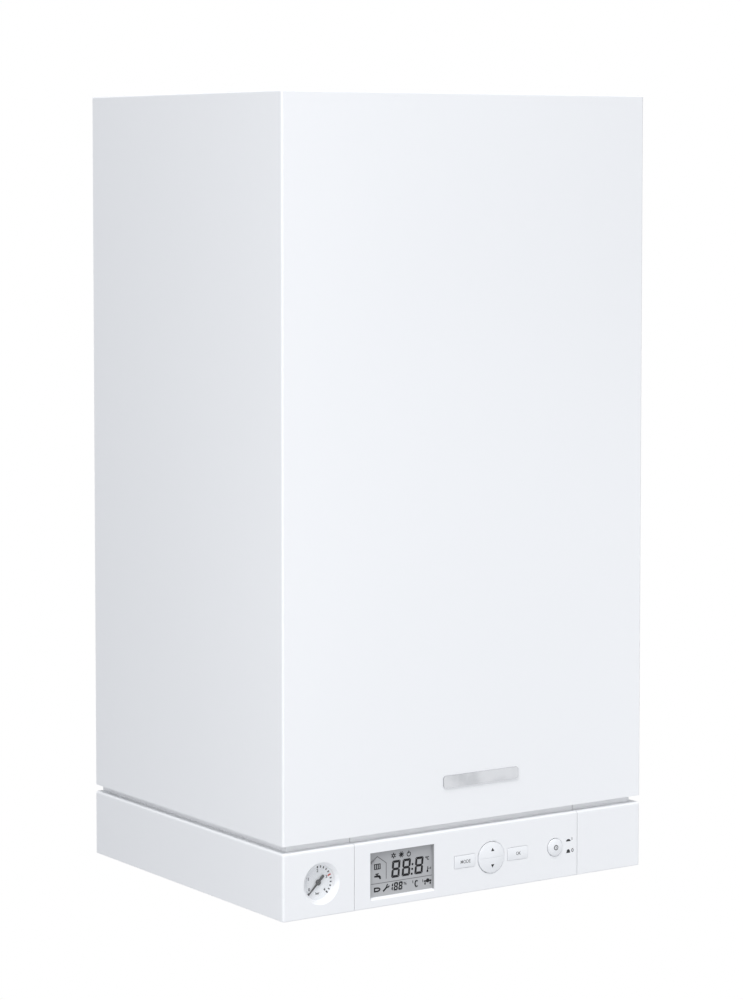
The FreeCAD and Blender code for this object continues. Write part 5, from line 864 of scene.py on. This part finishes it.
def sheet_screws():
    """Pan-head sheet screws with a cross recess."""
    places = []
    x, depths, z = WING_SCREW
    for side in (-1, 1):
        places += [((side * x, y, z), (-side, 0, 0)) for y in depths]
    x, y, levels = LID_SCREW
    places += [((side * x, y, z), (0, -1, 0)) for side in (-1, 1) for z in levels]
    x, y, z = SHELF_SCREW
    places += [((side * x, y, z), (0, -1, 0)) for side in (-1, 1)]
    screws = Growth("cross_screws", {
        "Head Radius": SCREW_HEAD[0] * MM, "Crown Radius": SCREW_HEAD[1] * MM,
        "Head Height": SCREW_HEAD[2] * MM, "Shank Radius": SCREW_SHANK[0] * MM,
        "Point Radius": SCREW_SHANK[1] * MM, "Grip": SCREW_SHANK[2] * MM,
        "Cross Length": SCREW_CROSS[0] * MM, "Cross Width": SCREW_CROSS[1] * MM,
        "Cross Depth": SCREW_CROSS[2] * MM,
    })
    at = screws.seat
    start = at("Geometry")
    head = start.node("GeometryNodeMeshCone", {}, {
        "Vertices": HEAD_SIDES, "Radius Top": at("Crown Radius"), "Radius Bottom": at("Head Radius"),
        "Depth": at("Head Height")})
    cuts = []
    for long, short in (("X", "Y"), ("Y", "X")):
        size = start.node("ShaderNodeCombineXYZ", {}, {
            long: at("Cross Length"), short: at("Cross Width"), "Z": 2.0 * at("Cross Depth")})
        slot_box = start.node("GeometryNodeMeshCube", {}, {"Size": size})
        lift = start.node("ShaderNodeCombineXYZ", {}, {"Z": at("Head Height")})
        cuts.append(start.node("GeometryNodeTransform", {},
                               {"Geometry": slot_box, "Translation": lift}))
    crossed = start.node("GeometryNodeMeshBoolean", {"operation": "UNION", "solver": "EXACT"},
                         {"Mesh 2": cuts})
    cross = start.node("GeometryNodeMeshBoolean", {"operation": "DIFFERENCE", "solver": "EXACT"},
                       {"Mesh 1": head, "Mesh 2": crossed})
    shank = start.node("GeometryNodeMeshCone", {}, {
        "Vertices": SHANK_SIDES, "Radius Top": at("Shank Radius"), "Radius Bottom": at("Point Radius"),
        "Depth": at("Grip") + SCREW_LAP * MM})
    drop = start.node("ShaderNodeCombineXYZ", {}, {"Z": 0.0 - at("Grip")})
    hung = start.node("GeometryNodeTransform", {}, {"Geometry": shank, "Translation": drop})
    screw = start.node("GeometryNodeJoinGeometry", {}, {"Geometry": [cross, hung]})
    way = start.node("GeometryNodeInputNamedAttribute", {"data_type": "FLOAT_VECTOR"}, {"Name": "way"})
    turn = start.node("FunctionNodeAlignRotationToVector", {"axis": "Z"}, {"Vector": way})
    screws.end(start, screw, turn, FINISH["zinc_screw"])
    piece = screws.grow("boiler", seat_points("screw_seats", places))
    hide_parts("sheet_screws")


def stub_threads(name, radius, centres):
    """Pipe thread round each connection stub of one size."""
    foot, top = STUB_LEVEL
    clear = 2 * THREAD_RIDGE
    length = top - foot - 2 * clear
    ridge = Growth(name, {
        "Radius": (radius - THREAD_RIDGE * THREAD_BURIED) * MM, "Ridge": THREAD_RIDGE * MM,
        "Height": length * MM, "Turns": length / THREAD_PITCH,
    })
    at = ridge.seat
    start = at("Geometry")
    helix = start.node("GeometryNodeCurveSpiral", {}, {
        "Resolution": HELIX_STEPS, "Rotations": at("Turns"), "Start Radius": at("Radius"),
        "End Radius": at("Radius"), "Height": at("Height")})
    upright = start.node("GeometryNodeSetCurveNormal", {}, {"Curve": helix})
    section = start.node("GeometryNodeCurvePrimitiveCircle", {}, {
        "Resolution": RIDGE_SIDES, "Radius": at("Ridge")})
    wound = start.node("GeometryNodeCurveToMesh", {}, {
        "Curve": upright, "Profile Curve": section, "Fill Caps": True})
    ridge.end(start, wound, (0.0, 0.0, 0.0), FINISH["brass"])
    seats = seat_points(name + "_seats", [((x, STUB_DEPTH, foot + clear), (0, 0, 1)) for x in centres])
    ridge.grow("boiler", seats)


display_marks()
key_marks()
dial_numerals()
dial_ticks("dial_long_ticks", DIAL_LIMIT, dial_angle(0), DIAL_STEP, LONG_TICK, DARK_INK)
dial_ticks("dial_last_tick", 1, dial_angle(DIAL_TOP), DIAL_STEP, LONG_TICK, DARK_INK)
dial_ticks("dial_limit_tick", 1, dial_angle(DIAL_LIMIT), DIAL_STEP, LIMIT_TICK, RED_INK)
for whole in range(DIAL_FINE_FROM, DIAL_TOP):
    dial_ticks(f"dial_short_ticks_{whole}", DIAL_MINOR - 1, dial_angle(whole + 1 / DIAL_MINOR),
               DIAL_STEP / DIAL_MINOR, SHORT_TICK, DARK_INK)
sheet_screws()
stub_threads("wide_stub_threads", *WIDE_STUBS)
stub_threads("narrow_stub_threads", *NARROW_STUBS)


# Studio


def seen_rays(start):
    """1 for rays that look at the background, directly or through gloss and glass."""
    path = start.node("ShaderNodeLightPath")
    seen = path["Is Camera Ray"] + path["Is Glossy Ray"] + path["Is Transmission Ray"]
    return seen.node("ShaderNodeMath", {"operation": "MINIMUM"}, {0: seen, 1: 1.0})


def studio_floor():
    """Pale floor that keeps the shadow and runs out into the white background."""
    disc = bmesh.new()
    bmesh.ops.create_circle(disc, cap_ends=True, segments=FLOOR_SIDES, radius=FLOOR_RADIUS)
    bmesh.ops.translate(disc, verts=disc.verts, vec=(0.0, 0.0, FLOOR_LEVEL))
    mesh = bpy.data.meshes.new("studio_floor")
    disc.to_mesh(mesh)
    disc.free()
    material, place = new_finish("floor_pale")
    away = place.node("ShaderNodeVectorMath", {"operation": "LENGTH"},
                      {0: place.stretch(1.0, 1.0, 0.0)}, "Value")
    fade = away.between(*FLOOR_FADE)
    matt = place.node("ShaderNodeBsdfPrincipled", {}, {
        "Base Color": place.cloud(3.0).tint(shade((0.84, 0.84, 0.85)), shade((0.87, 0.87, 0.88))),
        "Roughness": 0.9})
    white = place.node("ShaderNodeEmission", {}, {"Color": FULL_WHITE, "Strength": 1.0})
    pale = (FLOOR_LIFT + (1.0 - FLOOR_LIFT) * fade) * seen_rays(place)
    mixed = place.node("ShaderNodeMixShader", {}, {0: pale, 1: matt, 2: white})
    place.node("ShaderNodeOutputMaterial", {}, {"Surface": mixed})
    mesh.materials.append(material)
    floor = bpy.data.objects.new("studio_floor", mesh)
    bpy.context.collection.objects.link(floor)


def studio_air():
    """White to look at, softer as light."""
    world = bpy.data.worlds.new("studio_air")
    world.use_nodes = True
    world.node_tree.nodes.clear()
    start = Wire(world.node_tree)
    seen = seen_rays(start)
    strength = AMBIENT + (1.0 - AMBIENT) * seen
    colour = seen.tint(AMBIENT_TINT, FULL_WHITE)
    air = start.node("ShaderNodeBackground", {}, {"Color": colour, "Strength": strength})
    start.node("ShaderNodeOutputWorld", {}, {"Surface": air})
    bpy.context.scene.world = world


def soft_box(name, spot, size, power):
    """A square lamp that faces the object and isn't seen itself."""
    light = bpy.data.lights.new(name, "AREA")
    light.shape = "SQUARE"
    light.size = size
    light.energy = power
    lamp = bpy.data.objects.new(name, light)
    way = Vector(LAMP_AIM) - Vector(spot)
    lamp.matrix_world = Matrix.Translation(spot) @ way.to_track_quat("-Z", "Y").to_matrix().to_4x4()
    lamp.visible_camera = False
    bpy.context.collection.objects.link(lamp)


def photo_camera():
    """The photograph's viewpoint."""
    lens = bpy.data.cameras.new("camera")
    lens.lens = LENS_LENGTH
    lens.sensor_width = LENS_SENSOR
    lens.shift_y = LENS_SHIFT
    lens.clip_end = LENS_REACH
    camera = bpy.data.objects.new("camera", lens)
    camera.location = CAMERA_SPOT
    camera.rotation_euler = [math.radians(turn) for turn in CAMERA_TURN]
    bpy.context.collection.objects.link(camera)
    bpy.context.scene.camera = camera


studio_floor()
studio_air()
for name, (spot, size, power) in SOFT_BOXES.items():
    soft_box(name, spot, size, power)
photo_camera()
bpy.context.scene.view_settings.view_transform = "Standard"
